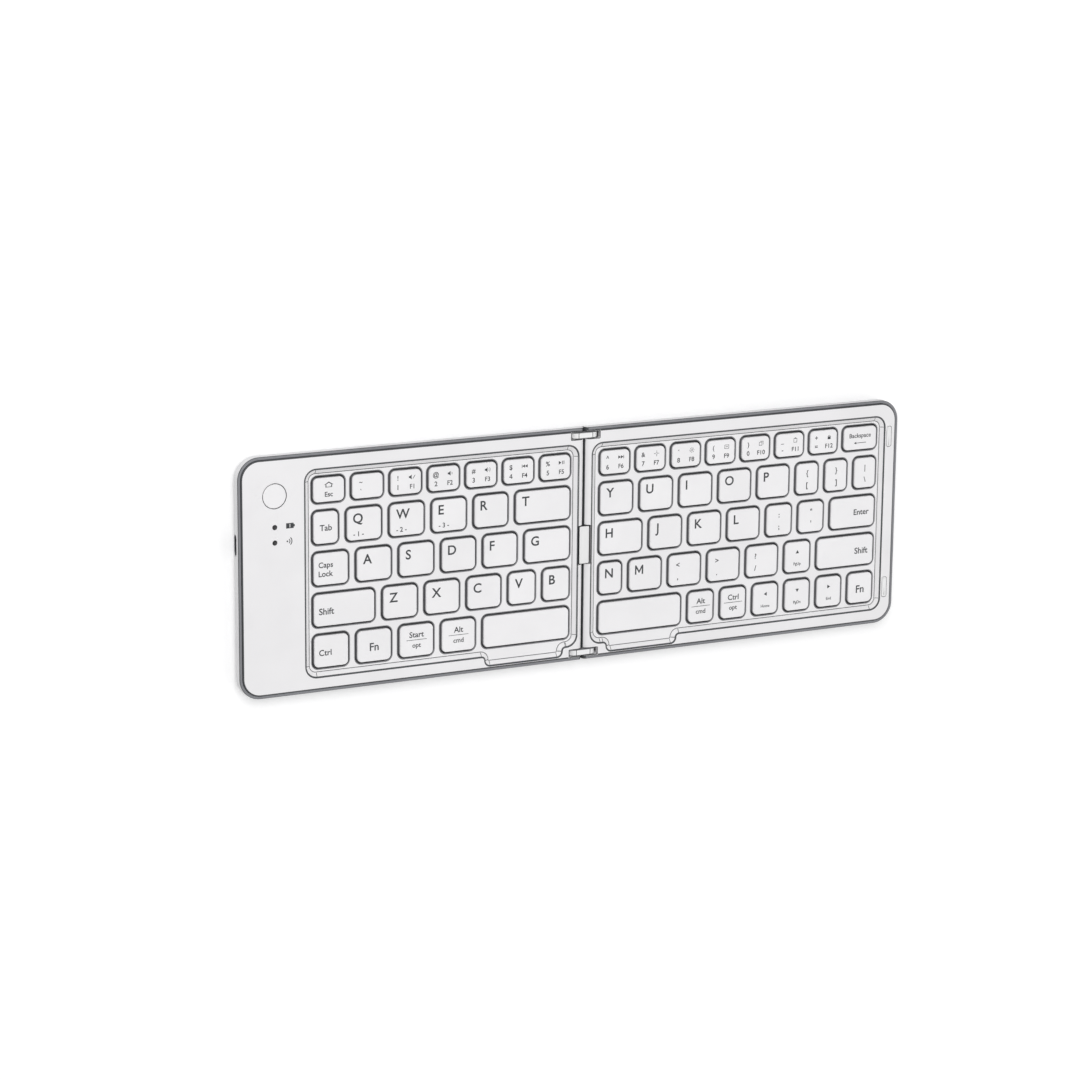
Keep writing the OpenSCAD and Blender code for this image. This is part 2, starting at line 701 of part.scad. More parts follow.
button_u = left_w - button_in;
button_y = case_d / 2 - button_back;
light_ys = [button_y - light_first, button_y - light_first - light_pitch];
port_u = left_w - 0.4;
port_z = board_z + board_t / 2 + 0.3;
boss_edge = case_d / 2 - screw_corner - boss_r - socket_wall - boss_gap;
board_u = well_end("left") + board_in;
board_w = strip_w - board_in - lip_w - ledge_w - board_out;
board_d = boss_edge - board_front;
port_y = board_front + port_in;
battery_w = board_w - 2;
battery_d = boss_edge + board_front - lead_room;
board_posts = [
    for (u = [board_u + 3, board_u + board_w - 3], y = [board_front + 2.5, board_front + board_d - 2.5]) [u, y]
];

// Stadium profile of the charge port, along the case's side
module port_shape(w, h, len) {
    rotate([90, 0, 90]) linear_extrude(len) {
        square([w - h, h], center = true);
        for (s = [-1, 1]) translate([s * (w - h) / 2, 0]) circle(h / 2);
    }
}

module port_slot() {
    translate([left_w - lip_w - ledge_w - over, port_y, port_z])
        port_shape(port_w + 2 * port_gap, port_h + 2 * port_gap, lip_w + ledge_w + 2 * over);
}

module left_bottom_cover() {
    color("gainsboro") on_half("left") bottom_cover("left");
}

module right_bottom_cover() {
    color("gainsboro") on_half("right") bottom_cover("right");
}

module left_top_cover() {
    color("white") on_half("left") top_cover("left");
}

module right_top_cover() {
    color("white") on_half("right") top_cover("right");
}

module left_base_plate() {
    color("silver") on_half("left") base_plate("left");
}

module right_base_plate() {
    color("silver") on_half("right") base_plate("right");
}

module left_membrane() {
    color("darkseagreen") on_half("left") membrane("left");
}

module right_membrane() {
    color("darkseagreen") on_half("right") membrane("right");
}

module left_rubber_domes() {
    color("darkgray") on_half("left") rubber_domes("left");
}

module right_rubber_domes() {
    color("darkgray") on_half("right") rubber_domes("right");
}

module left_scissors() {
    color("gray") on_half("left") scissors("left");
}

module right_scissors() {
    color("gray") on_half("right") scissors("right");
}

module left_screws() {
    color("darkgray") on_half("left") for (p = screw_places("left")) screw(p);
}

module right_screws() {
    color("darkgray") on_half("right") for (p = screw_places("right")) screw(p);
}

module left_feet() {
    color("black") on_half("left")
        for (p = foot_places("left")) post(p[0], p[1], foot_r - 0.1, 0, foot_h + foot_sink);
}

module right_feet() {
    color("black") on_half("right")
        for (p = foot_places("right")) post(p[0], p[1], foot_r - 0.1, 0, foot_h + foot_sink);
}

module left_magnets() {
    color("slategray") on_half("left") for (p = magnet_places)
        bumper_shape(p, bumper_w, bumper_d, ledge_z - magnet_t, ledge_z);
}

module right_magnets() {
    color("slategray") on_half("right") for (p = magnet_places)
        bumper_shape(p, bumper_w, bumper_d, ledge_z - magnet_t, ledge_z);
}

module closing_bumpers() {
    color("gainsboro") on_half("right") for (p = magnet_places)
        bumper_shape(p, bumper_w, bumper_d, case_h - bumper_sink, case_h + bumper_proud);
}

// Board with its controller, two lamps and the notch for the charge port
module main_board() {
    chip = 7;
    color("seagreen") on_half("left") {
        difference() {
            block(board_u, board_u + board_w, board_front, board_front + board_d, board_z, board_top);
            block(port_u - port_len - port_gap, left_w, port_y - port_w / 2 - port_gap,
                port_y + port_w / 2 + port_gap, board_z - over, board_top + over);
        }
        block(board_u + 1.5, board_u + 1.5 + chip, port_y - chip / 2, port_y + chip / 2,
            board_top - board_t / 2, board_top + 0.9);
        for (y = light_ys)
            block(button_u - 0.8, button_u + 0.8, y - 0.8, y + 0.8, board_top - board_t / 2, board_top + 0.4);
    }
}

module battery() {
    color("lightsteelblue") on_half("left")
        rounded_slab(board_u + 1, -boss_edge, battery_w, battery_d, 1.5, floor_z, floor_z + battery_t);
}

switch_h = 1.2;

module tact_switch() {
    color("dimgray") on_half("left") difference() {
        block(button_u - 2.2, button_u + 2.2, button_y - 2.2, button_y + 2.2, board_top, board_top + switch_h);
        post(button_u, button_y, 1.2, board_top + 0.25, board_top + switch_h + over);
    }
}

// Flush round button, kept in by its flange
module connect_button() {
    flange_z = ledge_z - 0.05;
    color("whitesmoke") on_half("left") {
        post(button_u, button_y, button_r, flange_z - 0.3, case_h);
        post(button_u, button_y, button_r + 0.85, flange_z - 0.55, flange_z);
        post(button_u, button_y, 1, board_top + button_travel + 0.45, flange_z - 0.3);
    }
}

module indicator_lights() {
    color("black") on_half("left") for (y = light_ys) {
        post(button_u, y, light_r, board_top + 0.5, case_h);
        post(button_u, y, light_r + 0.6, ledge_z - 0.6, ledge_z);
    }
}

// Metal shell with a closed back and the contact tongue
module charge_port() {
    color("silver") on_half("left") translate([port_u - port_len, port_y, port_z]) {
        difference() {
            port_shape(port_w, port_h, port_len);
            translate([1, 0, 0]) port_shape(port_w - 2 * port_t, port_h - 2 * port_t, port_len);
        }
        block(0.5, port_len - 0.7, -port_w / 2 + 1.2, port_w / 2 - 1.2, -0.35, 0.35);
    }
}

// Front and rear plates that turn on both halves' pins
module hinge_links() {
    color("whitesmoke") translate([split_x, 0, 0]) for (s = [-1, 1]) difference() {
        along_y(s * link_y - link_t / 2, s * link_y + link_t / 2) {
            translate([-pivot_x, pivot_z - edge_r]) square([2 * pivot_x, 2 * edge_r]);
            for (x = [-pivot_x, pivot_x]) translate([x, pivot_z]) circle(edge_r);
        }
        for (x = [-pivot_x, pivot_x]) translate([x, s * link_y, pivot_z]) rotate([90, 0, 0])
            cylinder(r = pin_r + pin_clear, h = link_t + over, center = true);
    }
}

module hinge_pins() {
    color("darkgray") for (h = ["left", "right"]) on_half(h) for (s = [-1, 1]) pin_at(s, pin_r, pin_len);
}

// Soft hat-shaped boot over the flat cable, its feet under the two decks
module cable_sleeve() {
    top = case_h - sleeve_drop;
    foot_top = deck_low - 0.3;
    side = sleeve_w / 2;
    color("gainsboro") translate([split_x, 0, 0])
        along_y(sleeve_y0 + sleeve_end, sleeve_y1 - sleeve_end) difference() {
            union() {
                translate([-side, foot_top - sleeve_t]) square([sleeve_w, top - foot_top + sleeve_t]);
                translate([-side - sleeve_foot, foot_top - sleeve_t])
                    square([sleeve_w + 2 * sleeve_foot, sleeve_t]);
            }
            translate([sleeve_t - side, foot_top - sleeve_t - over])
                square([sleeve_w - 2 * sleeve_t, top - foot_top + over]);
        }
}

// Flat cable: over the end walls under the sleeve, then down to the rubber sheets
module ribbon_cable() {
    mid_u = pivot_x + 1;
    low_u = pivot_x + edge_r + 0.8;
    end_u = low_u + ribbon_lap;
    mid_z = deck_low - 0.3 - sleeve_t - 0.4;
    path = [[-end_u, sheet_z], [-low_u, sheet_z], [-mid_u, mid_z], [mid_u, mid_z],
        [low_u, sheet_z], [end_u, sheet_z]];
    back = [for (i = [len(path) - 1 : -1 : 0]) [path[i][0], path[i][1] + ribbon_t]];
    color("orange") translate([split_x, 0, 0])
        along_y(-sleeve_cut_y - ribbon_d / 2, -sleeve_cut_y + ribbon_d / 2)
            polygon(concat(path, back));
}

left_bottom_cover();
left_top_cover();
left_base_plate();
left_membrane();
left_rubber_domes();
left_scissors();
left_screws();
left_feet();
left_magnets();
main_board();
battery();
tact_switch();
connect_button();
indicator_lights();
charge_port();
right_bottom_cover();
right_top_cover();
right_base_plate();
right_membrane();
right_rubber_domes();
right_scissors();
right_screws();
right_feet();
right_magnets();
closing_bumpers();
hinge_links();
hinge_pins();
cable_sleeve();
ribbon_cable();
for (k = KEYS) keycaps(k[1], k[2], k[3], k[4]);
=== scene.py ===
import math

import bmesh
import bpy
import numpy as np
from mathutils import Matrix, Vector
from mathutils.geometry import delaunay_2d_cdt


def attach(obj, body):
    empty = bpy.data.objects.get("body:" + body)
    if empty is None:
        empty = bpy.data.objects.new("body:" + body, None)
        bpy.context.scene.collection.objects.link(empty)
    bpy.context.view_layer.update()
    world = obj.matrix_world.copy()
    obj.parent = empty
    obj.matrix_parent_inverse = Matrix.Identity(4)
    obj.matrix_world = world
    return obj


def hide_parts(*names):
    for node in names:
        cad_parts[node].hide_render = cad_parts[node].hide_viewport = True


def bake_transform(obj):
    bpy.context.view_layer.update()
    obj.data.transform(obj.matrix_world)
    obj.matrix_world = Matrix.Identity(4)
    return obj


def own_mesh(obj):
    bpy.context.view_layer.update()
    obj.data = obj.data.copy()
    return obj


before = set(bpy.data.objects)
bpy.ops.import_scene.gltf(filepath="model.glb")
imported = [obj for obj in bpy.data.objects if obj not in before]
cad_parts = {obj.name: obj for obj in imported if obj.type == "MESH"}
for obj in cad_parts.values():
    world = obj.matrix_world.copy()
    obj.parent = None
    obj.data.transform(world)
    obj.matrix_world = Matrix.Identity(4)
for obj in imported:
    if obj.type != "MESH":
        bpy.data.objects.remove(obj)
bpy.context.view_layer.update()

# ---------------------------------------------------------------- sizes, in millimetres
# A half is drawn outward from the fold line: U runs away from that line, Y to the rear and Z up.

# Case: two trays, each with a cover that lies inside its lip
SPLIT_X = 1.0  # the fold line
HALF_W = {"left": 154.0, "right": 152.0}
CASE_D = 99.0
CASE_H = 8.0
CORNER_R = 9.0
CORNER_STEPS = 16  # steps round a tray's corner
FOOT_H = 0.6
FLOOR_Z = 1.6
LIP_W = 1.2
LIP_Z = 7.5
LEDGE_Z = 6.8  # where a cover rests on its tray
INNER = 2.2  # from a tray's side to the inside of its wall
COVER_IN = 1.3  # from a tray's side to its cover's
COVER_END_U = 2.4  # where a cover's plate ends, over its rounded edge
RIM_BAND = 0.5  # the band of painted shade round a cover's edge
RIM_STEPS = 12  # steps round a cover's corner

# Wells: a sloping wall round the pierced deck, and a thumb relief in front of it
DECK_Z = 6.6
DECK_LOW = 5.4
SLOPE_W = 1.8
WELL = {"left": (3.2, 125.5), "right": (3.2, 145.3)}  # near and far side in U
WELL_Y = (-43.15, 42.55)  # front and rear
WELL_R = 4.8
WELL_STEPS = 10  # steps round each of its corners
RELIEF = {"left": (10.0, 45.6), "right": (10.9, 44.0)}  # near and far side in U
RELIEF_Y = -47.15  # front

# Fold: rounded edges about the pivots, link plates in their notches, sleeve and flat cable
PIVOT_U = 3.2
PIVOT_Z = 5.0
EDGE_R = 3.0
END_U = PIVOT_U - EDGE_R  # where a half ends
SILL_R = 3.15  # the hollow in a tray's end wall, under the cover's rounded edge
SILL_Z = (3.4, 2.415)  # the levels that this hollow runs between
PIN_HOLE_R = 0.85
LINK_Y = 46.3
LINK_T = 2.5
LINK_W = 12.4
LINK_H = 6.0
NOTCH = (44.85, 47.75)  # its sides, from the middle in Y
NOTCH_U = 6.5  # how far the notches reach from the fold
SLEEVE_Y = (-8.6, 8.1)  # front and rear of its cut-out
SLEEVE_W = 4.6
SLEEVE_FOOT_W = 10.6
SLEEVE_END = 0.35  # between the cut-out's ends and the sleeve
RIBBON_Y = (-5.5, 5.0)  # front and rear

# Keys: cells in rows, a hole round each cell and a cap inside it
KEY_IN = {"left": 6.5, "right": 7.2}  # from the fold to a half's first cells
FRONT_Y = -39.75
KEY_D = 13.9
NUMBER_D = 10.7
ROW_GAP = 3.15
KEY_GAP = 3.3
NUMBER_GAP = 2.8
KEY_CLEAR = 0.7  # between a cap and the sides of its hole
KEY_R = 2.4
KEY_LINE = 0.4  # the grey frame round a hole: painted shade that carries the gap's dark line onto the deck
CAP_Z = 7.5
CAP_LOW = 4.6
CAP_IN_Z = 6.7
DISH = 0.14
SKIRT_T = 0.9
PLUNGER_R = 1.3
PLUNGER_Z = 5.0

# Painted shade lines and prints
LINE = (0.4, -0.3)  # the rim groove's edges, outward and inward of the well's line
LINE_FALL = 0.7  # how the groove's filling falls with each mm inward
GROOVE = 0.55
LIFT = 0.012  # how far prints and painted shade lines stand proud

# Button, lights, closing pads
BUTTON = (138.55, 33.3)  # its middle in U and Y
BUTTON_R = 4.95
FLANGE_R = 5.8
LIGHTS_Y = (20.6, 14.3)
LENS_R = 1.0
BUMPER_U = 147.55
BUMPER_Y = 33.5
BUMPER_W = 2.2
BUMPER_D = 8.8
BUMPER_GAP = 0.15

# Feet, screws, charge port
FOOT_IN = 16.0
FOOT_Y = 36.0
FOOT_R = 3.9
SCREW_IN = 4.6
SCREW_SIDE_Y = 45.3
SCREW_CORNER_Y = 41.5
HEAD_R = 1.5
PORT_Y = 14.0
PORT_Z = 3.8
PORT_W = 9.34
PORT_H = 3.66

# Widths of the key cells, outward from the fold
ROWS = {
    ("left", "front"): [39.9] + [15.6] * 4,
    ("left", "lower"): [12.5] * 2 + [15.6] * 3 + [27.2],
    ("left", "home"): [21.0] + [15.6] * 5,
    ("left", "upper"): [25.3] + [15.6] * 4 + [11.3],
    ("left", "number"): [14.1] * 7,
    ("right", "front"): [39.5] + [12.55] * 6,
    ("right", "lower"): [10.9] + [15.61] * 4 + [12.8, 28.66],
    ("right", "home"): [20.3] + [15.61] * 3 + [12.6] * 2 + [22.47],
    ("right", "upper"): [15.61] * 5 + [11.15] * 3,
    ("right", "number"): [14.006] * 7 + [16.956],
}
ROW_ORDER = ["front", "lower", "home", "upper", "number"]


def cells(half, row):
    """Left edge, front edge, width and depth of every cell of a row, in the object's own frame: running
    sums of the widths and gaps, counted outward from the fold."""
    widths = np.array(ROWS[half, row])
    gap = NUMBER_GAP if row == "number" else KEY_GAP
    near = KEY_IN[half] + np.concatenate([[0], np.cumsum(widths + gap)[:-1]])
    left = SPLIT_X + near if half == "right" else SPLIT_X - near - widths
    front = FRONT_Y + ROW_ORDER.index(row) * (KEY_D + ROW_GAP)
    deep = NUMBER_D if row == "number" else KEY_D
    return np.stack([left, np.full(len(widths), front), widths, np.full(len(widths), deep)], 1)


# ---------------------------------------------------------------- curves and surfaces
def unit(v):
    """Each row divided by its length."""
    return v / np.maximum(np.linalg.norm(v, axis=-1, keepdims=True), 1e-12)


def rounded_path(corners, radii, steps=8, closed=True):
    """A polygon whose corners become tangent arcs: every arc is its centre plus the radius times the
    travel's right-hand normal turned through the corner. Gives the points and those normals."""
    p = np.asarray(corners, float)
    r = np.broadcast_to(np.asarray(radii, float), len(p)).copy()
    before = unit(p - np.roll(p, 1, 0))
    after = unit(np.roll(p, -1, 0) - p)
    if not closed:
        before[0], after[-1] = after[0], before[-1]
    turn = np.arctan2(before[:, 0] * after[:, 1] - before[:, 1] * after[:, 0], (before * after).sum(1))
    start = p - before * (r * np.abs(np.tan(turn / 2)))[:, None]
    right = np.stack([before[:, 1], -before[:, 0]], 1)
    bend = (r * np.sign(turn))[:, None]
    angle = turn[:, None] * np.linspace(0, 1, steps + 1)
    normal = np.stack([
        right[:, :1] * np.cos(angle) - right[:, 1:] * np.sin(angle),
        right[:, :1] * np.sin(angle) + right[:, 1:] * np.cos(angle)], 2)
    points = (start - right * bend)[:, None] + normal * bend[:, None]
    return points.reshape(-1, 2), normal.reshape(-1, 2)


def finer(points, normals, gap, closed=True):
    """The same path with points added along its straight runs, no further apart than the gap."""
    ends, turned = (np.roll(points, -1, 0), np.roll(normals, -1, 0)) if closed else (
        np.concatenate([points[1:], points[-1:]]), np.concatenate([normals[1:], normals[-1:]]))
    length = np.linalg.norm(ends - points, axis=1)
    extra = np.maximum(np.ceil(length / gap).astype(int) - 1, 0)
    which = np.repeat(np.arange(len(points)), extra)
    place = np.arange(extra.sum()) - np.repeat(np.cumsum(extra) - extra, extra)
    part = ((place + 1) / (extra[which] + 1))[:, None]
    order = np.argsort(np.concatenate([np.arange(len(points)), which + part[:, 0]]), kind="stable")
    mixed = points[which] * (1 - part) + ends[which] * part
    leaning = unit(normals[which] * (1 - part) + turned[which] * part)
    return np.concatenate([points, mixed])[order], np.concatenate([normals, leaning])[order]


def softened(points, cuts, steps=3):
    """An open outline whose inner corners become parabolas that start and end a cut away from them."""
    p = np.asarray(points, float)
    cut = np.asarray(cuts, float)[:, None]
    corner = p[1:-1]
    start = corner - unit(corner - p[:-2]) * cut
    end = corner + unit(p[2:] - corner) * cut
    t = np.linspace(0, 1, steps + 1)[None, :, None]
    curve = (1 - t) ** 2 * start[:, None] + 2 * t * (1 - t) * corner[:, None] + t ** 2 * end[:, None]
    return np.concatenate([p[:1], curve.reshape(-1, 2), p[-1:]])


def rectangle(x, y, w, d):
    """Four corners, counter-clockwise."""
    return [(x, y), (x + w, y), (x + w, y + d), (x, y + d)]


def circle(x, y, r, steps=48):
    """Points at equal turns round the centre, with their outward normals."""
    t = np.linspace(0, 2 * math.pi, steps, endpoint=False)
    normal = np.stack([np.cos(t), np.sin(t)], 1)
    return np.array([x, y]) + r * normal, normal


def carried(points, normals, profile):
    """A profile carried along a path: each ring is the path moved along its normals by the profile's
    first number, at the height of its second."""
    flat = points[None] + normals[None] * profile[:, None, :1]
    height = np.broadcast_to(profile[:, None, 1:], flat.shape[:2] + (1,))
    return np.concatenate([flat, height], 2)


def fill(loops, lines=()):
    """Triangles of the plane region inside an odd number of the loops: a constrained triangulation of
    all their points, kept where a ray from the triangle's middle crosses the loops oddly."""
    loops = [np.asarray(loop, float) for loop in loops]
    chains = loops + [np.asarray(line, float) for line in lines]
    counts = np.array([len(chain) for chain in chains])
    first = np.cumsum(counts) - counts
    edges = np.concatenate([
        np.stack([np.arange(n), (np.arange(n) + 1) % n], 1)[:n if k < len(loops) else n - 1] + s
        for k, (n, s) in enumerate(zip(counts, first))])
    corners = [Vector(p) for p in np.concatenate(chains).tolist()]
    solved = delaunay_2d_cdt(corners, edges.tolist(), [], 0, 1e-6)
    flat = np.array([tuple(v) for v in solved[0]])
    triangles = np.array(solved[2])
    middle = flat[triangles].mean(1)
    a = np.concatenate(loops)
    b = np.concatenate([np.roll(loop, -1, 0) for loop in loops])
    spans = (a[None, :, 1] > middle[:, 1:]) != (b[None, :, 1] > middle[:, 1:])
    rise = np.where(a[:, 1] == b[:, 1], 1.0, b[:, 1] - a[:, 1])
    crossing = a[:, 0] + (middle[:, 1:] - a[:, 1]) * ((b - a)[:, 0] / rise)
    odd = (spans & (middle[:, :1] < crossing)).sum(1) % 2 == 1
    return flat, triangles[odd]


class Surface:
    """Gathers grids and filled regions into one mesh, in millimetres."""

    def __init__(self):
        self.points, self.faces, self.count = [], [], 0

    def add(self, points, faces):
        """Adds points with the faces that join them, counted from the first of them."""
        self.points.append(points.reshape(-1, 3))
        self.faces += (faces + self.count).tolist()
        self.count += len(self.points[-1])

    def grid(self, rings, around=True, back=False):
        """Quads between neighbouring points of a grid, closed round its columns and, with back, its rows."""
        rows, columns = rings.shape[:2]
        i, j = np.meshgrid(np.arange(rows if back else rows - 1),
                           np.arange(columns if around else columns - 1), indexing="ij")
        i2, j2 = (i + 1) % rows, (j + 1) % columns
        self.add(rings, np.stack([i * columns + j, i * columns + j2, i2 * columns + j2, i2 * columns + j],
                                 -1).reshape(-1, 4))

    def region(self, loops, height, lines=()):
        """A filled region at one height, or at one height for each point."""
        flat, triangles = fill(loops, lines)
        z = height(flat) if callable(height) else np.full(len(flat), height)
        self.add(np.column_stack([flat, z]), triangles)

    def slab(self, outline, side, holes=()):
        """A profile carried round an outline, with its first and last rings filled, and straight holes."""
        loop, normals = outline
        self.grid(carried(loop, normals, side))
        for offset, height in (side[0], side[-1]):
            self.region([loop + normals * offset] + [hole for hole, _ in holes], height)
        for hole, out in holes:
            self.grid(carried(hole, out, np.array([(0, side[0, 1]), (0, side[-1, 1])])))

    def bars(self, starts, ends, across, depth):
        """Slim closed bars from starts to ends: each end goes half the width to both sides, and down."""
        tips = np.stack([starts, ends], 1)[:, :, None, None]
        sides = np.array([-0.5, 0.5])[:, None] * across[:, None, None, None]
        down = np.array([(0, 0, 0), (0, 0, -depth)])[:, None]
        corners = (tips + sides + down).reshape(-1, 3)
        quads = np.array([(0, 1, 3, 2), (4, 6, 7, 5), (0, 4, 5, 1), (2, 3, 7, 6), (0, 2, 6, 4), (1, 5, 7, 3)])
        self.add(corners, (np.arange(len(starts))[:, None, None] * 8 + quads).reshape(-1, 4))

    def turned(self, x, y, profile, steps=32):
        """A profile of radii and heights turned about an upright axis."""
        loop, normals = circle(0, 0, 0, steps)
        rings = carried(loop, normals, np.asarray(profile, float))
        self.grid(rings + np.array([x, y, 0]))

    def join(self, other, change):
        """Takes in another surface, its points changed by a rule."""
        self.points += [change(points) for points in other.points]
        self.faces += [[i + self.count for i in face] for face in other.faces]
        self.count += other.count

    def all(self):
        """Every point, in the order that the faces count them."""
        return np.concatenate(self.points)


def mend(mesh, near, sliver, outward_faces=True):
    """Merges points that lie as near as given, drops slivers and turns the faces outward."""
    work = bmesh.new()
    work.from_mesh(mesh)
    bmesh.ops.remove_doubles(work, verts=work.verts, dist=near)
    bmesh.ops.dissolve_degenerate(work, edges=work.edges, dist=sliver)
    if outward_faces:
        bmesh.ops.recalc_face_normals(work, faces=work.faces)
    work.to_mesh(mesh)
    work.free()


def piece(name, surface, body, material, stands_for=(), sharp=38, closed=True, second=None, third=None):
    """Makes the mesh: points in metres, doubles merged, faces turned outward, smooth but for its edges.
    second and third are rules that pick faces by their middles, in millimetres, each with the material that
    those faces get instead."""
    mesh = bpy.data.meshes.new(name)
    mesh.from_pydata(surface.all() * 0.001, [], surface.faces)
    mend(mesh, 2e-6, 1e-7, closed)
    mesh.shade_smooth()
    mesh.set_sharp_from_angle(angle=math.radians(sharp))
    mesh.materials.append(material)
    middle, finish = np.zeros(len(mesh.polygons) * 3), np.zeros(len(mesh.polygons), int)
    mesh.polygons.foreach_get("center", middle)
    for rule, other in filter(None, (second, third)):
        mesh.materials.append(other)
        finish[rule(middle.reshape(-1, 3) * 1000)] = len(mesh.materials) - 1
    mesh.polygons.foreach_set("material_index", finish)
    made = bpy.data.objects.new(name, mesh)
    bpy.context.scene.collection.objects.link(made)
    if closed:
        even = made.modifiers.new("even", "WEIGHTED_NORMAL")
        even.keep_sharp = True
    if body:
        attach(made, body)
    if stands_for:
        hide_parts(*stands_for)
    return made


def outward(half, surface):
    """A half drawn outward from the fold line takes its place: the left one is mirrored."""
    side = 1 if half == "right" else -1
    surface.points = [np.column_stack([SPLIT_X + side * p[:, 0], p[:, 1:]]) for p in surface.points]
    return surface


# ---------------------------------------------------------------- materials
def linear(colour):
    """A hex sRGB colour as linear RGBA."""
    c = np.array([int(colour[i:i + 2], 16) / 255 for i in (1, 3, 5)])
    c = np.where(c <= 0.04045, c / 12.92, ((c + 0.055) / 1.055) ** 2.4)
    return (*c.tolist(), 1.0)


def add(tree, kind, links=None, values=None, **settings):
    """Adds a node, sets its settings and socket values, and links its inputs."""
    made = tree.nodes.new(kind)
    for key, value in settings.items():
        setattr(made, key, value)
    for key, value in (values or {}).items():
        made.inputs[key].default_value = value
    for key, source in (links or {}).items():
        tree.links.new(source, made.inputs[key])
    return made


def start(name):
    """An empty material with its output, shader and the piece's own coordinates, scaled to millimetres."""
    material = bpy.data.materials.new(name)
    material.use_nodes = True
    tree = material.node_tree
    tree.nodes.clear()
    place = add(tree, "ShaderNodeTexCoord")
    in_mm = add(tree, "ShaderNodeVectorMath", {0: place.outputs["Object"]}, {1: (1000, 1000, 1000)},
                operation="MULTIPLY")
    shader = add(tree, "ShaderNodeBsdfPrincipled")
    add(tree, "ShaderNodeOutputMaterial", {"Surface": shader.outputs[0]})
    return material, tree, in_mm.outputs[0], shader


def wander(tree, shader, tone, colours, gloss, rough, band=(0.35, 0.65)):
    """Lets a finish wander: its colour goes from one tone to the other as a pattern crosses the band, and
    its roughness from one value to the other as a pattern goes from 0 to 1."""
    ramp = add(tree, "ShaderNodeValToRGB", {"Fac": tone})
    for stop, place, colour in zip(ramp.color_ramp.elements, band, colours):
        stop.position, stop.color = place, linear(colour)
    tree.links.new(ramp.outputs["Color"], shader.inputs["Base Color"])
    spread = add(tree, "ShaderNodeMapRange", {"Value": gloss}, {"To Min": rough[0], "To Max": rough[1]})
    tree.links.new(spread.outputs[0], shader.inputs["Roughness"])


def moulded(name, colour, shade, rough, grain, height, sheen_edge=0.0, ior=1.53, coat=0.0):
    """Moulded plastic or rubber: a fine spark-eroded grain of the given size in mm and height in mm, a
    slow shift between two near colours, and a roughness that wanders a little. A real tool's grain is
    several times finer and lower, and is drawn coarser so that it shows."""
    material, tree, mm, shader = start(name)
    slow = add(tree, "ShaderNodeTexNoise", {"Vector": mm}, {"Scale": 1 / 23, "Detail": 3.0})
    fine = add(tree, "ShaderNodeTexNoise", {"Vector": mm}, {"Scale": 1 / grain, "Detail": 2.0})
    pits = add(tree, "ShaderNodeTexVoronoi", {"Vector": mm}, {"Scale": 0.7 / grain}, feature="SMOOTH_F1")
    relief = add(tree, "ShaderNodeMath", {0: fine.outputs["Fac"], 1: pits.outputs["Distance"]},
                 operation="ADD")
    bump = add(tree, "ShaderNodeBump", {"Height": relief.outputs[0]},
               {"Strength": 1.0, "Distance": height * 0.001})
    wander(tree, shader, slow.outputs["Fac"], (colour, shade),
           slow.outputs["Fac"], (rough - 0.05, rough + 0.06))
    tree.links.new(bump.outputs["Normal"], shader.inputs["Normal"])
    shader.inputs["IOR"].default_value = ior
    shader.inputs["Coat Weight"].default_value = coat
    shader.inputs["Coat Roughness"].default_value = 0.25
    shader.inputs["Sheen Weight"].default_value = sheen_edge
    return material


def brushed(name, colour, shade, rough, along, line):
    """Brushed or turned metal: noise drawn out along the brushing, which wanders in roughness and
    lightness, with lines of the given width in mm, wider than real ones so that they show."""
    material, tree, mm, shader = start(name)
    drawn = add(tree, "ShaderNodeVectorMath", {0: mm}, {1: tuple(a / (30 * line) for a in along)},
                operation="MULTIPLY")
    lines = add(tree, "ShaderNodeTexNoise", {"Vector": drawn.outputs[0]}, {"Scale": 1.0, "Detail": 3.0})
    bump = add(tree, "ShaderNodeBump", {"Height": lines.outputs["Fac"]},
               {"Strength": 1.0, "Distance": 4e-6})
    wander(tree, shader, lines.outputs["Fac"], (shade, colour),
           lines.outputs["Fac"], (rough - 0.06, rough + 0.1))
    tree.links.new(bump.outputs["Normal"], shader.inputs["Normal"])
    shader.inputs["Metallic"].default_value = 1.0
    return material


def tracked(name, film, track, pitch, rough, axis="X"):
    """Film or board with printed tracks: stripes of the given pitch in mm, coarser than real tracks so that
    they show, under a gently wavy gloss. The wave repeats each 2 pi over 20 times its scale."""
    material, tree, mm, shader = start(name)
    stripes = add(tree, "ShaderNodeTexWave", {"Vector": mm},
                  {"Scale": 2 * math.pi / (20 * pitch), "Distortion": 1.5, "Detail": 1.0,
                   "Detail Scale": 0.4},
                  bands_direction=axis)
    ripple = add(tree, "ShaderNodeTexNoise", {"Vector": mm}, {"Scale": 1 / 6, "Detail": 2.0})
    bump = add(tree, "ShaderNodeBump", {"Height": stripes.outputs["Fac"]}, {"Distance": 0.00002})
    wander(tree, shader, stripes.outputs["Fac"], (film, track),
           ripple.outputs["Fac"], (rough - 0.08, rough + 0.08), band=(0.55, 0.62))
    tree.links.new(bump.outputs["Normal"], shader.inputs["Normal"])
    return material


# White ABS from a spark-eroded tool: matt, with a grain that only a low light shows
cover_abs = moulded("spark_textured_white_abs", "#F0EFF0", "#ECEBEC", 0.52, 0.35, 0.012)
# White ABS under a satin hard coat: smoother than the covers, with a soft highlight along the edges
cap_abs = moulded("satin_coated_white_abs", "#F2F1F2", "#EEEDEE", 0.38, 0.22, 0.004, coat=0.12)
# The caps' skirts below the deck: grey ABS as painted shade, so that a dark line runs round each white cap in
# its gap
skirt_shade_abs = moulded("grey_gap_shade_abs", "#97989B", "#8F9093", 0.5, 0.3, 0.006)
# Pad-printed ink: nearly flat, a little uneven where the pad lifted
legend_ink = moulded("pad_printed_grey_ink", "#36383B", "#404245", 0.6, 0.3, 0.003)
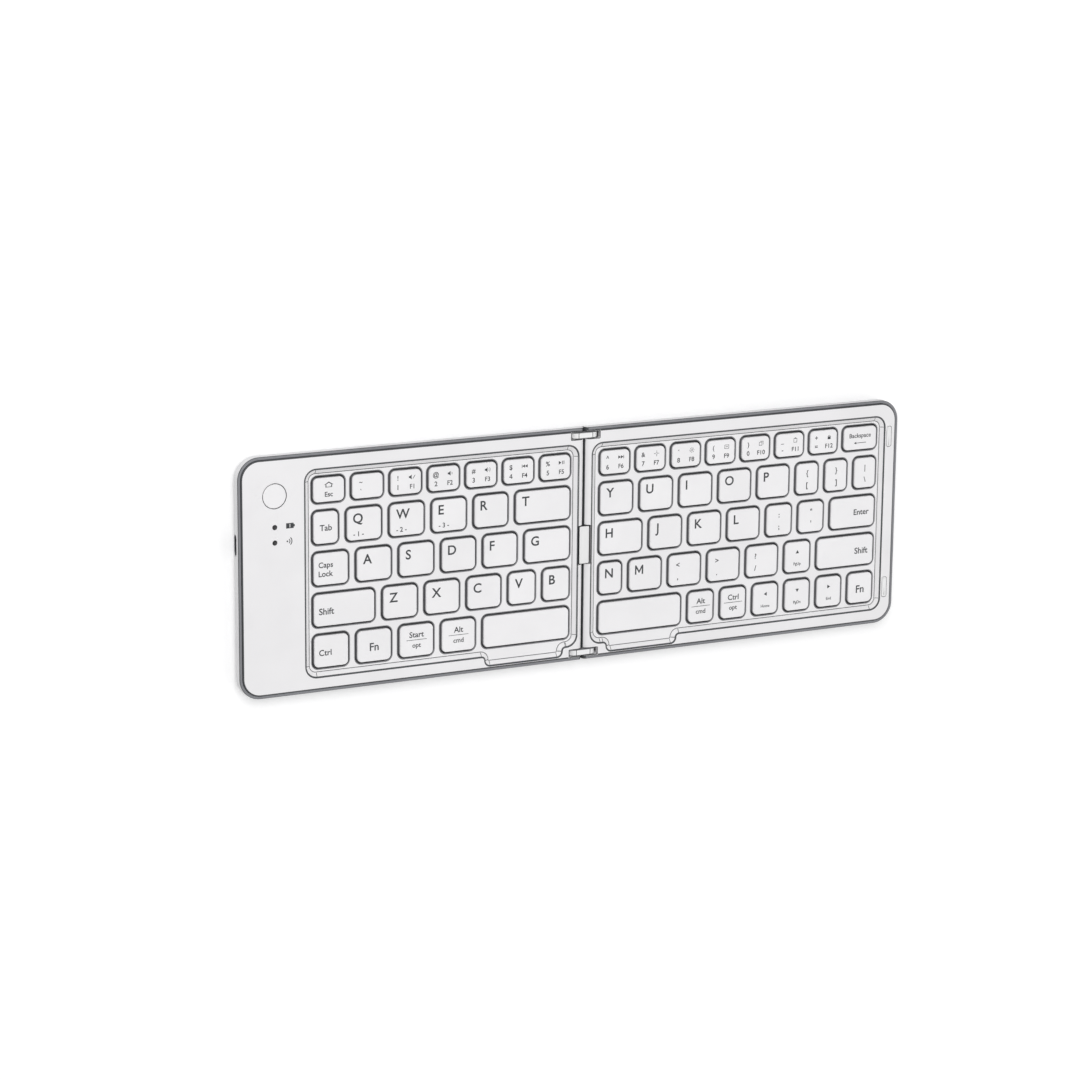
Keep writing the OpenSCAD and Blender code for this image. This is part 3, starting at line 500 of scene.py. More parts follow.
# Light grey-white polycarbonate blend, fine-textured: the trays, a shade duller than the covers
shell_pearl = moulded("textured_pearl_polycarbonate", "#E9E9EA", "#E4E4E5", 0.48, 0.35, 0.012)
# Mid-grey polycarbonate blend, flat and dull: painted shade on the key holes' frames and walls and the link
# plates' sides
gap_shade_pc = moulded("grey_gap_shade_polycarbonate", "#8B8B8E", "#838386", 0.5, 0.3, 0.01)
# The same blend, satin, on the lip's flat top: a lighter grey than on its bevel
lip_pc = moulded("satin_grey_polycarbonate", "#85868A", "#7D7E82", 0.5, 0.3, 0.01)
# Dark grey, finely textured polycarbonate blend: the lips' bevels, a two-tone moulding, and as painted shade
# the cover's edge, the fold's faces, the dark lines on covers and link plates and the sides of sleeve and
# button, which outline the white parts
lip_and_shade_pc = moulded("textured_grey_lip_and_shade_polycarbonate", "#4B4D50", "#454749", 0.46, 0.3, 0.01)
# Steel plates under white lacquer: a little glossier than the covers, with a faint orange peel
link_lacquer = moulded("white_lacquered_steel", "#F0F0F0", "#ECECED", 0.32, 1.1, 0.01, coat=0.3)
# Ground along the pin, so that it gleams in one long streak
pin_steel = brushed("ground_steel_pin", "#B9BABC", "#A3A4A6", 0.24, along=(30, 1, 30), line=0.12)
# Blackened steel, turned: dark heads with a dull gleam
screw_steel = brushed("blackened_screw_steel", "#55565A", "#3C3D40", 0.34, along=(30, 30, 4), line=0.12)
# Deep-drawn steel shell: bright, with soft streaks across it
port_steel = brushed("drawn_port_steel", "#C9CACC", "#B4B5B7", 0.26, along=(3, 30, 30), line=0.15)
# Stamped tin plate: a soft grey mirror with its rolling lines
plate_steel = brushed("stamped_tin_plate", "#BFC1C3", "#A9ABAE", 0.36, along=(2, 30, 30), line=0.4)
# Nickel plating: bright and slightly warm
magnet_nickel = brushed("nickel_plated_magnet", "#C6C3BC", "#B5B2AB", 0.2, along=(8, 8, 8), line=0.5)
# Moulded silicone: the sleeve is soft and dusty, and the closing pads are smoother, with a low gleam
sleeve_silicone = moulded("white_silicone", "#EDEDEC", "#E8E8E8", 0.58, 0.3, 0.01, sheen_edge=0.15, ior=1.43)
bumper_silicone = moulded("pale_silicone", "#F1F1F1", "#ECECEC", 0.42, 0.25, 0.004, ior=1.43, coat=0.1)
# Black moulded rubber: dull, with a dusty edge
foot_rubber = moulded("black_foot_rubber", "#26272A", "#303134", 0.72, 0.3, 0.02, sheen_edge=0.2, ior=1.5)
# Grey silicone sheet with its domes: matt and even
dome_silicone = moulded("grey_dome_silicone", "#A2A3A6", "#9A9B9E", 0.55, 0.3, 0.006, ior=1.43)
# Acetal: slippery, with a low sheen
scissor_pom = moulded("grey_acetal", "#97989B", "#8E8F92", 0.4, 0.25, 0.004, ior=1.48)
# Glass-filled nylon: black and flat
switch_nylon = moulded("black_switch_nylon", "#2B2C2E", "#353638", 0.5, 0.2, 0.006)
# Smoked acrylic: nearly black until a lamp under it is lit
lens_acrylic = moulded("smoked_acrylic_lens", "#0E0F10", "#151617", 0.3, 0.3, 0.001, ior=1.49, coat=0.5)
# Laminated foil pouch: dull grey and softly creased
battery_foil = moulded("aluminium_laminate_pouch", "#AEB1B6", "#C2C4C8", 0.32, 1.4, 0.05)
# Printed silver on clear film, tracks under green mask, and copper under brown film: glossy, with faint
# stripes
membrane_film = tracked("printed_silver_film", "#B9C7BD", "#8E979A", 1.6, 0.3)
board_laminate = tracked("green_solder_mask", "#1F5B3F", "#2C7550", 1.1, 0.35, axis="Y")
ribbon_film = tracked("brown_polyimide_film", "#5A4636", "#46362A", 0.9, 0.28, axis="Y")

# ---------------------------------------------------------------- marks on the keys
UNITS_HIGH = 2.0


def bar(x0, y0, x1, y1):
    """An upright rectangle between two corners."""
    return np.array([(x0, y0), (x1, y0), (x1, y1), (x0, y1)], float)


def ring(x0, y0, x1, y1, t):
    """A rectangle's outline of the given thickness, as an outer and an inner loop."""
    return [bar(x0, y0, x1, y1), bar(x0 + t, y0 + t, x1 - t, y1 - t)]


def arc(x, y, r, t, a0, a1, steps=10):
    """A band between two radii, from one angle to another in degrees."""
    a = np.radians(np.linspace(a0, a1, steps))
    way = np.stack([np.cos(a), np.sin(a)], 1)
    return np.array([x, y]) + np.concatenate([way * (r + t / 2), way[::-1] * (r - t / 2)])


SPEAKER = np.array([(-1.1, -.32), (-.7, -.32), (-.1, -.85), (-.1, .85), (-.7, .32), (-1.1, .32)])
RAYS = [arc(0, 0, 0.78, 0.4, a - 7, a + 7, 3) for a in range(0, 360, 45)]
STAR = circle(0, 0, 1, 12)[1] * np.where(np.arange(12) % 2, 0.3, 1.0)[:, None]
HOUSE = np.array([(-1.2, -.8), (1.2, -.8), (1.2, .1), (1.7, .1), (0, 1.15), (-1.7, .1), (-1.2, .1)])
SIGNS = {
    "mute": [SPEAKER, np.array([(.25, -.5), (.4, -.65), (1.25, .5), (1.1, .65)])],
    "quieter": [SPEAKER, arc(-.1, 0, .6, .16, -45, 45)],
    "louder": [SPEAKER, arc(-.1, 0, .55, .16, -45, 45), arc(-.1, 0, 1.0, .16, -45, 45)],
    "previous": [bar(-1.1, -.6, -.9, .6), np.array([(-.9, 0), (.1, -.6), (.1, .6)]),
                 np.array([(.1, 0), (1.1, -.6), (1.1, .6)])],
    "play": [np.array([(-1.1, -.65), (-.1, 0), (-1.1, .65)]), bar(.2, -.6, .45, .6), bar(.75, -.6, 1.0, .6)],
    "next": [np.array([(-1.1, -.6), (-.1, 0), (-1.1, .6)]), np.array([(-.1, -.6), (.9, 0), (-.1, .6)]),
             bar(.9, -.6, 1.1, .6)],
    "dim": [arc(0, 0, .34, .14, 0, 360, 16)] + RAYS[::2],
    "bright": [arc(0, 0, .34, .14, 0, 360, 16)] + RAYS,
    "select": ring(-.9, -.7, .9, .7, .16) + [bar(-.45, -.1, .45, .1)],
    "copy": ring(-.8, -.8, .4, .5, .16) + [bar(-.3, .66, .9, .82), bar(.74, -.5, .9, .66)],
    "paste": ring(-.7, -.85, .7, .65, .16) + [bar(-.3, .65, .3, .9)],
    "lock": [bar(-.6, -.85, .6, .15), arc(0, .15, .42, .16, 0, 180, 12)],
    "home": [HOUSE, HOUSE * 0.7 + np.array([0, -.04])],
    "up": [np.array([(-1, -.8), (1, -.8), (0, .9)])],
    "down": [np.array([(-1, .8), (0, -.9), (1, .8)])],
    "left": [np.array([(-.9, 0), (.8, -1), (.8, 1)])],
    "right": [np.array([(-.8, -1), (.9, 0), (-.8, 1)])],
    "back": [np.array([(-3.1, 0), (-1.9, -.5), (-1.9, .5)]), bar(-1.9, -.12, 3.1, .12)],
    "rule": [bar(-4.5, -.1, 4.5, .1)],
    "battery": [bar(-1.5, -.9, 1.2, .9), bar(-.25, -.62, -.02, .62), bar(1.2, -.4, 1.6, .4)],
    "M": [np.array([(-.98, -1), (-.64, -1), (-.64, .3), (-.08, -.68), (.08, -.68), (.64, .3), (.64, -1),
                    (.98, -1), (.98, 1), (.68, 1), (0, -.18), (-.68, 1), (-.98, 1)])],
    "4": [np.array([(.14, -1), (.44, -1), (.44, -.54), (.74, -.54), (.74, -.24), (.44, -.24), (.44, 1),
                    (.16, 1), (-.74, -.26), (-.74, -.54), (.14, -.54)]),
          np.array([(.14, -.24), (.14, .48), (-.36, -.24)])],
    "*": [STAR * 0.5 + np.array([0, .4])],
    "waves": [circle(-1.2, 0, .36, 16)[0], arc(-1.2, 0, 1.1, .38, -48, 48), arc(-1.2, 0, 1.95, .38, -48, 48)],
}


def letters(word):
    """A word's flat mesh at a capital height of 1: points and triangles."""
    curve = bpy.data.curves.new("word", "FONT")
    curve.body = word
    curve.resolution_u = 4
    curve.offset = 0.018
    holder = bpy.data.objects.new("word", curve)
    mesh = holder.to_mesh()
    points = np.zeros(len(mesh.vertices) * 3)
    mesh.vertices.foreach_get("co", points)
    mesh.calc_loop_triangles()
    triangles = np.zeros(len(mesh.loop_triangles) * 3, int)
    mesh.loop_triangles.foreach_get("vertices", triangles)
    holder.to_mesh_clear()
    bpy.data.objects.remove(holder)
    bpy.data.curves.remove(curve)
    return points.reshape(-1, 3)[:, :2], triangles.reshape(-1, 3)


CAPITAL = np.ptp(letters("H")[0][:, 1])


def mark(word, high, align, across, up):
    """One printed mark: a sign or a word, its height, its side (-1 left, 0 middle, 1 right), its distance
    from that side or from the middle, and its middle's height above the cell's middle."""
    if word in SIGNS:
        points, triangles = fill(SIGNS[word])
        return points * high / UNITS_HIGH, triangles, align, across, up
    points, triangles = letters(word)
    points = points * high / CAPITAL
    return points - np.array([0, high / 2]), triangles, align, across, up


def dish(x, y, cell):
    """Depth of a cap's hollow: one less the square of the way to the side, times the same front to rear."""
    a = (cell[2] - KEY_CLEAR) / 2
    b = (cell[3] - KEY_CLEAR) / 2
    side = np.clip(1 - ((x - cell[0] - cell[2] / 2) / a) ** 2, 0, 1)
    front = np.clip(1 - ((y - cell[1] - cell[3] / 2) / b) ** 2, 0, 1)
    return DISH * side * front


def print_marks(surface, marks, cell):
    """Lays the marks on one cap, a hair above its hollow."""
    for points, triangles, align, across, up in marks:
        low, high = points[:, 0].min(), points[:, 0].max()
        if align < 0:
            x = cell[0] + across - low
        elif align > 0:
            x = cell[0] + cell[2] - across - high
        else:
            x = cell[0] + cell[2] / 2 + across - (low + high) / 2
        x = points[:, 0] + x
        y = points[:, 1] + cell[1] + cell[3] / 2 + up
        surface.add(np.column_stack([x, y, CAP_Z - dish(x, y, cell) + LIFT]), triangles)


def letter(word, up):
    """A letter key's mark, at the upper left."""
    return [mark(word, 4.0, -1, 2.9, up)]


def pair(upper, lower, across, top=2.4, low=-2.8, high=2.3):
    """Two marks, one above the other."""
    return [mark(upper, high, 0, across, top), mark(lower, high, 0, across, low)]


def number(shifted, digit, sign, function):
    """A number key's four marks: two at the left, and a sign over a function number at the right."""
    return [mark(shifted, 2.0, 0, -3.6, 1.9), mark(digit, 2.0, 0, -3.6, -1.9),
            mark(sign, 2.4, 0, 2.7, 1.9), mark(function, 1.9, 0, 2.7, -1.9)]


def double(upper, lower):
    """Two words with a rule between them."""
    return [mark(upper, 2.4, 0, 0, 2.6), mark("rule", 2.0, 0, 0, 0.3), mark(lower, 2.0, 0, 0, -1.9)]


def arrow(sign, caption):
    """An arrow over its caption."""
    return [mark(sign, 1.7, 0, 0, 2.2), mark(caption, 1.25, 0, 0, -3.0)]


# Every keycap node: half, row, first cell, and the marks of its caps outward from the fold
CAPS = {
    "key_space_left": ("left", "front", 0, [[]]),
    "keys_ctrl_fn_start_alt": ("left", "front", 1, [
        double("Alt", "cmd"), double("Start", "opt"), [mark("Fn", 3.3, 0, 0, -0.4)],
        [mark("Ctrl", 2.5, -1, 2.4, -0.5)]]),
    "keys_v_b": ("left", "lower", 0, [letter("B", 2.2), letter("V", 2.2)]),
    "keys_z_x_c": ("left", "lower", 2, [letter("C", 2.2), letter("X", 2.2), letter("Z", 2.2)]),
    "key_shift_left": ("left", "lower", 5, [[mark("Shift", 2.7, -1, 2.5, -0.4)]]),
    "key_g": ("left", "home", 0, [letter("G", 2.4)]),
    "keys_a_s_d_f": ("left", "home", 1, [letter(c, 2.4) for c in "FDSA"]),
    "key_caps_lock": ("left", "home", 5, [[
        mark("Caps", 2.3, -1, 2.4, 1.8), mark("Lock", 2.3, -1, 2.4, -1.9)]]),
    "key_t": ("left", "upper", 0, [letter("T", 2.6)]),
    "keys_q_w_e_r": ("left", "upper", 1, [
        letter("R", 2.6), *(letter(c, 2.6) + [mark("- " + n + " -", 2.0, -1, 3.0, -3.9)]
                            for c, n in (("E", "3"), ("W", "2"), ("Q", "1")))]),
    "key_tab": ("left", "upper", 5, [[mark("Tab", 2.5, 0, 0, 0)]]),
    "keys_1_to_5": ("left", "number", 0, [
        number("%", "5", "play", "F5"), number("$", "4", "previous", "F4"), number("#", "3", "louder", "F3"),
        number("@", "2", "quieter", "F2"), number("!", "1", "mute", "F1"),
        [mark("~", 1.9, 0, -3.0, 1.9), mark("`", 1.9, 0, -3.0, -1.9)]]),
    "key_escape": ("left", "number", 6, [[mark("home", 2.4, 0, 0, 1.9), mark("Esc", 2.0, 0, 0, -1.8)]]),
    "key_space_right": ("right", "front", 0, [[]]),
    "keys_alt_ctrl": ("right", "front", 1, [double("Alt", "cmd"), double("Ctrl", "opt")]),
    "keys_left_down_right": ("right", "front", 3, [
        arrow("left", "Home"), arrow("down", "PgDn"), arrow("right", "End")]),
    "key_fn_right": ("right", "front", 6, [[mark("Fn", 3.3, 0, 0, -0.4)]]),
    "key_n": ("right", "lower", 0, [letter("N", 2.2)]),
    "keys_m_comma_dot_slash": ("right", "lower", 1, [
        letter("M", 2.2), pair("<", ",", -3.3), pair(">", ".", -3.3), pair("?", "/", -3.3)]),
    "key_up": ("right", "lower", 5, [arrow("up", "PgUp")]),
    "key_shift_right": ("right", "lower", 6, [[mark("Shift", 2.7, 1, 3.0, -0.2)]]),
    "key_h": ("right", "home", 0, [letter("H", 2.4)]),
    "keys_j_k_l": ("right", "home", 1, [letter(c, 2.4) for c in "JKL"]),
    "keys_semicolon_quote": ("right", "home", 4, [pair(":", ";", 0), pair('"', "'", 0)]),
    "key_enter": ("right", "home", 6, [[mark("Enter", 2.5, 1, 3.0, 0)]]),
    "keys_y_u_i_o_p": ("right", "upper", 0, [letter(c, 2.6) for c in "YUIOP"]),
    "keys_brackets": ("right", "upper", 5, [pair("{", "[", 0), pair("}", "]", 0), pair("|", "\\", 0)]),
    "keys_6_to_equals": ("right", "number", 0, [
        number("^", "6", "next", "F6"), number("&", "7", "dim", "F7"), number("*", "8", "bright", "F8"),
        number("(", "9", "select", "F9"), number(")", "0", "copy", "F10"), number("_", "-", "paste", "F11"),
        number("+", "=", "lock", "F12")]),
    "key_backspace": ("right", "number", 7, [[
        mark("Backspace", 1.9, 0, 0, 1.3), mark("back", 2.0, 0, 0, -2.0)]]),
}


# ---------------------------------------------------------------- keycaps
def keycap(surface, cell):
    """One closed cap as rings about its middle: the hollow top shrinks to a pole, the rounded edge and
    drafted side are a profile carried round the cap's outline, and the ceiling narrows to the plunger."""
    grow = KEY_CLEAR / 2
    outline = rounded_path(
        rectangle(cell[0] + grow, cell[1] + grow, cell[2] - KEY_CLEAR, cell[3] - KEY_CLEAR), KEY_R - grow, 7)
    loop, out = finer(*outline, 3.5)
    middle = np.array([cell[0] + cell[2] / 2, cell[1] + cell[3] / 2])
    side = softened([(-1.5, CAP_Z), (-0.1, CAP_Z), (-0.074, DECK_Z + 0.15), (0, CAP_LOW), (-SKIRT_T, CAP_LOW),
                     (-SKIRT_T, CAP_IN_Z), (-SKIRT_T - 0.5, CAP_IN_Z)], [0.36, 0.02, 0.12, 0.12, 0.25], 4)
    rings = carried(loop, out, side)
    shrink = np.array([0, 0.2, 0.4, 0.6, 0.8])[:, None, None]
    flat = middle + (rings[0, :, :2] - middle) * shrink
    top = np.concatenate([flat, np.full(flat.shape[:2] + (1,), CAP_Z)], 2)
    round_plunger = middle + unit(loop - middle) * PLUNGER_R
    low = np.stack([
        np.column_stack([round_plunger, np.full(len(loop), CAP_IN_Z)]),
        np.column_stack([round_plunger, np.full(len(loop), PLUNGER_Z + 0.1)]),
        np.column_stack([middle + (round_plunger - middle) * 0.9, np.full(len(loop), PLUNGER_Z)]),
        np.column_stack([np.broadcast_to(middle, loop.shape), np.full(len(loop), PLUNGER_Z)])])
    whole = np.concatenate([top, rings, low])
    upper = whole[:, :, 2] > CAP_Z - 0.5
    whole[:, :, 2] -= np.where(upper, dish(whole[:, :, 0], whole[:, :, 1], cell), 0)
    surface.grid(whole)


def skirt_gap_shade(middle):
    """Faces below the deck's level, in the gap round each cap, which take grey as painted shade."""
    return middle[:, 2] < DECK_Z + 0.15


for node, (half, row, first, marks) in CAPS.items():
    caps, printed = Surface(), Surface()
    for cell, drawn in zip(cells(half, row)[first:], marks):
        keycap(caps, cell)
        print_marks(printed, drawn, cell)
    # The caps' sides down in their gaps are grey: painted shade.
    piece(node + "_caps", caps, node, cap_abs, (node,), sharp=60,
          second=(skirt_gap_shade, skirt_shade_abs))
    if printed.count:
        piece(node + "_legends", printed, node, legend_ink, closed=False)


# ---------------------------------------------------------------- covers
NOSE_STEPS = PIVOT_U - EDGE_R * np.cos(np.radians(np.linspace(0, 90, 9)))


def nose(u):
    """Height of the rounded fold edge: the case's top, falling as a circle about the pivot."""
    return PIVOT_Z + np.sqrt(np.maximum(EDGE_R ** 2 - np.clip(PIVOT_U - u, 0, EDGE_R) ** 2, 0))


def well_path(half):
    """A well's rim line, counter-clockwise, with the thumb relief and the ends of the sleeve's cut-out."""
    u1 = WELL[half][1]
    r0, r1 = RELIEF[half]
    s0, s1 = SLEEVE_Y
    return rounded_path(
        [(PIVOT_U, WELL_Y[1]), (PIVOT_U, s1), (PIVOT_U, s1 - 0.01), (PIVOT_U, s0 + 0.01), (PIVOT_U, s0),
         (PIVOT_U, WELL_Y[0]), (r0, WELL_Y[0]), (r0, RELIEF_Y), (r1, RELIEF_Y), (r1, WELL_Y[0]),
         (u1, WELL_Y[0]), (u1, WELL_Y[1])],
        [WELL_R, 0, 0, 0, 0, WELL_R, 1.6, 2.35, 2.35, 1.6, WELL_R, WELL_R], WELL_STEPS)


def settled(points):
    """Points lowered onto the rounded fold edge and kept clear of the sleeve's cut-out."""
    points[:, 2] -= np.where(points[:, 0] < PIVOT_U, CASE_H + 0.006 - nose(points[:, 0]), 0)
    at_sleeve = (points[:, 1] > SLEEVE_Y[0] + 0.005) & (points[:, 1] < SLEEVE_Y[1] - 0.005)
    points[:, 0] = np.where(at_sleeve, np.maximum(points[:, 0], PIVOT_U - 0.06), points[:, 0])


def painted_shade_lines(half):
    """Dark grey strips of painted shade: one fills the groove at the well's rim, one lies in the crease at
    the foot of its slope, fine ones climb the slope where its flats meet its corners, and two frame the
    notches of the link plates."""
    lines = Surface()
    well = well_path(half)
    out, into = LINE
    top = np.array([(out, CASE_H + LIFT), (0.02, CASE_H + LIFT), (into, CASE_H + LINE_FALL * into + LIFT),
                    (into, CASE_H - GROOVE), (out, CASE_H - GROOVE)])
    lines.grid(carried(*well, top), back=True)
    foot = np.array([(0, DECK_Z + 0.02), (-0.3, DECK_Z + 0.015), (-0.3, DECK_Z - 0.2), (0, DECK_Z - 0.2)])
    lines.grid(carried(*well, foot - np.array([SLOPE_W - 0.02, 0])), back=True)
    bends, normals = (v.reshape(-1, WELL_STEPS + 1, 2)[[0, 5, 6, 7, 8, 9, 10, 11]][:, [0, -1]].reshape(-1, 2)
                      for v in well)
    high, low = (np.column_stack([bends + normals * offset, np.full(len(bends), z + 0.014)])
                 for offset, z in ((into, CASE_H + LINE_FALL * into), (-SLOPE_W + 0.1, DECK_Z + 0.28)))
    lines.bars(high, low, np.column_stack([-normals[:, 1], normals[:, 0], 0 * normals[:, 0]]) * 0.24, 0.1)
    y0, y1 = NOTCH
    for side in (-1, 1):
        frame_path = finer(*rounded_path(
            [(0.4, y0 - 0.35), (NOTCH_U + 0.35, y0 - 0.35), (NOTCH_U + 0.35, y1 + 0.3), (0.4, y1 + 0.3),
             (0.4, y1), (NOTCH_U, y1), (NOTCH_U, y0), (0.4, y0)],
            [0, 0.5, 0.5, 0, 0, 0.2, 0.2, 0], 4), 0.3)
        strip = Surface()
        strip.slab(frame_path, np.array([(0, CASE_H + LIFT), (0, CASE_H - 0.4)]))
        lines.join(strip, lambda points: points * [1, side, 1])
    for points in lines.points:
        settled(points)
    return outward(half, lines)


def top_cover(half):
    """Rim, sloping walls and pierced deck: regions filled between the outlines, and softened profiles
    carried along them."""
    cover = Surface()
    edge = HALF_W[half] - COVER_IN
    deep = CASE_D / 2 - COVER_IN
    s0, s1 = SLEEVE_Y
    end = COVER_END_U
    outline = rounded_path(
        [(end, -NOTCH[0]), (NOTCH_U, -NOTCH[0]), (NOTCH_U, -deep), (edge, -deep), (edge, deep),
         (NOTCH_U, deep), (NOTCH_U, NOTCH[0]), (end, NOTCH[0]), (end, s1), (end, s1 - 0.01),
         (end, s0 + 0.01), (end, s0)],
        [0.1, 0.5, 0.5, CORNER_R - COVER_IN, CORNER_R - COVER_IN, 0.5, 0.5, 0.1, 0, 0, 0, 0], RIM_STEPS)
    well = well_path(half)
    if half == "left":
        mouths = [circle(*BUTTON, BUTTON_R + 0.25, 64)]
        mouths += [circle(BUTTON[0], y, LENS_R + 0.03, 24) for y in LIGHTS_Y]
    else:
        mouths = [rounded_path(rectangle(
            BUMPER_U - BUMPER_W / 2 - BUMPER_GAP, side * BUMPER_Y - BUMPER_D / 2 - BUMPER_GAP,
            BUMPER_W + 2 * BUMPER_GAP, BUMPER_D + 2 * BUMPER_GAP), 0.95, 8) for side in (-1, 1)]

    # The edge's profile, and the well's: its groove, its sloping wall and the start of its deck
    rim = softened([(-0.9, CASE_H), (0, CASE_H), (0, LEDGE_Z), (-0.6, LEDGE_Z)], [0.32, 0.1], 4)
    seam = CASE_H - GROOVE
    slope = softened(
        [(0.8, CASE_H), (LINE[0], CASE_H), (LINE[0], seam), (LINE[1], seam),
         (LINE[1], CASE_H + LINE[1] * LINE_FALL), (-SLOPE_W + 0.1, DECK_Z + 0.28), (-SLOPE_W, DECK_Z),
         (-SLOPE_W - 0.35, DECK_Z)],
        [0.04, 0.03, 0.03, 0.04, 0.1, 0.06], 3)
    rim_start, slope_start, slope_end = rim[1, 0], slope[1, 0], slope[-2, 0]
    cover.grid(carried(*outline, rim[1:-1]))
    cover.grid(carried(*well, slope[1:-1]))
    for loop, normals in mouths:
        mouth = softened([(0.4, CASE_H), (0, CASE_H), (0, LEDGE_Z)], [0.12], 3)
        cover.grid(carried(loop, normals, mouth[1:]))

    # Lines inside the flat top, so that whole faces take the edge's painted shade and the fold's rounding
    far, wide = edge - RIM_BAND, deep - RIM_BAND
    band_r = CORNER_R - COVER_IN - RIM_BAND
    at_notch = NOTCH_U - rim_start
    band = rounded_path([(at_notch, -wide), (far, -wide), (far, wide), (at_notch, wide)],
                        [0, band_r, band_r, 0], RIM_STEPS, closed=False)[0][RIM_STEPS:-RIM_STEPS]
    beside_bar = [[(PIVOT_U + 0.02, y0), (PIVOT_U + 0.02, y1)] for y0, y1 in ((-44.5, -37.5), (37.0, 44.5))]
    top_loops = [outline[0] + outline[1] * rim_start, well[0] + well[1] * slope_start]
    low_loops = [outline[0] + outline[1] * rim[-2, 0], well[0] + well[1] * slope_start]
    cover.region(top_loops + [m[0] + m[1] * 0.12 for m in mouths], CASE_H, [band] + beside_bar)
    cover.region(low_loops + [m[0] for m in mouths], LEDGE_Z)
    back_of_slope = np.array([(slope_start, LEDGE_Z), (slope_start, DECK_LOW), (slope_end, DECK_LOW)])
    cover.grid(carried(*well, back_of_slope))

    # The deck and its underside, pierced by a framed hole round each key's cell
    holes = []
    for row in ROW_ORDER:
        for cell in cells(half, row):
            near = cell[0] - SPLIT_X if half == "right" else SPLIT_X - cell[0] - cell[2]
            grow = KEY_CLEAR / 2
            holes.append(rounded_path(
                rectangle(near - grow, cell[1] - grow, cell[2] + 2 * grow, cell[3] + 2 * grow),
                KEY_R + grow, 7))
    floor_loop = well[0] + well[1] * slope_end
    cover.region([floor_loop] + [h[0] + h[1] * KEY_LINE for h in holes], DECK_Z)
    cover.region([floor_loop] + [h[0] for h in holes], DECK_LOW)
    for loop, normals in holes:
        cover.grid(carried(loop, normals, np.concatenate([[(KEY_LINE, DECK_Z)], softened(
            [(KEY_LINE - 0.02, DECK_Z - 0.04), (0, DECK_Z - 0.05), (0, DECK_LOW)], [0.14], 3)])))
    for points in cover.points:
        settled(points)

    # A round bar under the plate on each side of the sleeve, kept just below the well's slope
    bar_section, bar_normals = circle(PIVOT_U, PIVOT_Z, EDGE_R, 72)
    for y0, y1 in ((-NOTCH[0], SLEEVE_Y[0]), (SLEEVE_Y[1], NOTCH[0])):
        along = softened([(-EDGE_R, y0), (0, y0), (0, y1), (-EDGE_R, y1)], [0.2, 0.2], 3)
        rings = carried(bar_section, bar_normals, along)[:, :, [0, 2, 1]]
        past = rings[:, :, 0] - PIVOT_U
        slope_z = np.maximum(CASE_H - past * (CASE_H - DECK_Z) / SLOPE_W, DECK_Z) - 0.03
        rings[:, :, 2] = np.where(past > 0, np.minimum(rings[:, :, 2], slope_z), rings[:, :, 2])
        cover.grid(rings)

    # A strip outside each notch, which follows the rounded edge
    steps = np.concatenate([NOSE_STEPS, [NOTCH_U + 0.4]])
    for side in (-1, 1):
        y0, y1 = (NOTCH[1], deep) if side > 0 else (-deep, -NOTCH[1])
        section = softened([(y0, LEDGE_Z), (y0, CASE_H), (y1, CASE_H), (y1, LEDGE_Z)], [0.07, 0.12], 3)
        rings = np.concatenate([np.broadcast_to(steps[:, None, None], (len(steps), len(section), 1)),
                                np.broadcast_to(section, (len(steps),) + section.shape)], 2).copy()
        rings[:, :, 2] = np.minimum(rings[:, :, 2], nose(rings[:, :, 0]) - CASE_H + rings[:, :, 2])
        cover.grid(rings)
        flat, triangles = fill([section])
        for u in (steps[0], steps[-1]):
            cover.add(np.column_stack([np.full(len(flat), u), flat[:, 0],
                                       flat[:, 1] + nose(u) - CASE_H]), triangles)
    return outward(half, cover)


def with_port_slot(wall):
    """The wall less a rounded slot for the charge port, cut by an exact boolean."""
    slot = Surface()
    slot.slab(rounded_path(rectangle(PORT_Y - PORT_W / 2, PORT_Z - PORT_H / 2, PORT_W, PORT_H),
                           PORT_H / 2 - 0.001, 12),
              np.array([(0, HALF_W["left"] + 3), (0, HALF_W["left"] - 4)]))
    slot.points = [p[:, [2, 0, 1]] for p in slot.points]
    solids = []
    for surface in (wall, slot):
        mesh = bpy.data.meshes.new("cut")
        mesh.from_pydata(surface.all(), [], surface.faces)
        mend(mesh, 1e-3, 1e-4)
        solids.append(bpy.data.objects.new("cut", mesh))
        bpy.context.scene.collection.objects.link(solids[-1])
    cut = solids[0].modifiers.new("slot", "BOOLEAN")
    cut.object, cut.operation, cut.solver = solids[1], "DIFFERENCE", "EXACT"
    done = bpy.data.meshes.new_from_object(solids[0].evaluated_get(bpy.context.evaluated_depsgraph_get()))
    points = np.zeros(len(done.vertices) * 3)
    done.vertices.foreach_get("co", points)
    result = Surface()
    result.points = [points.reshape(-1, 3)]
    result.faces = [list(face.vertices) for face in done.polygons]
    result.count = len(done.vertices)
    for solid in solids:
        bpy.data.objects.remove(solid)
    return result


def screw_places(half):
    """Corner screws near the outer edge, one in front and two at the rear."""
    u = HALF_W[half] - SCREW_IN
    return [(u, SCREW_CORNER_Y), (u, -SCREW_CORNER_Y), (52, -SCREW_SIDE_Y), (14, SCREW_SIDE_Y),
            (75, SCREW_SIDE_Y)]


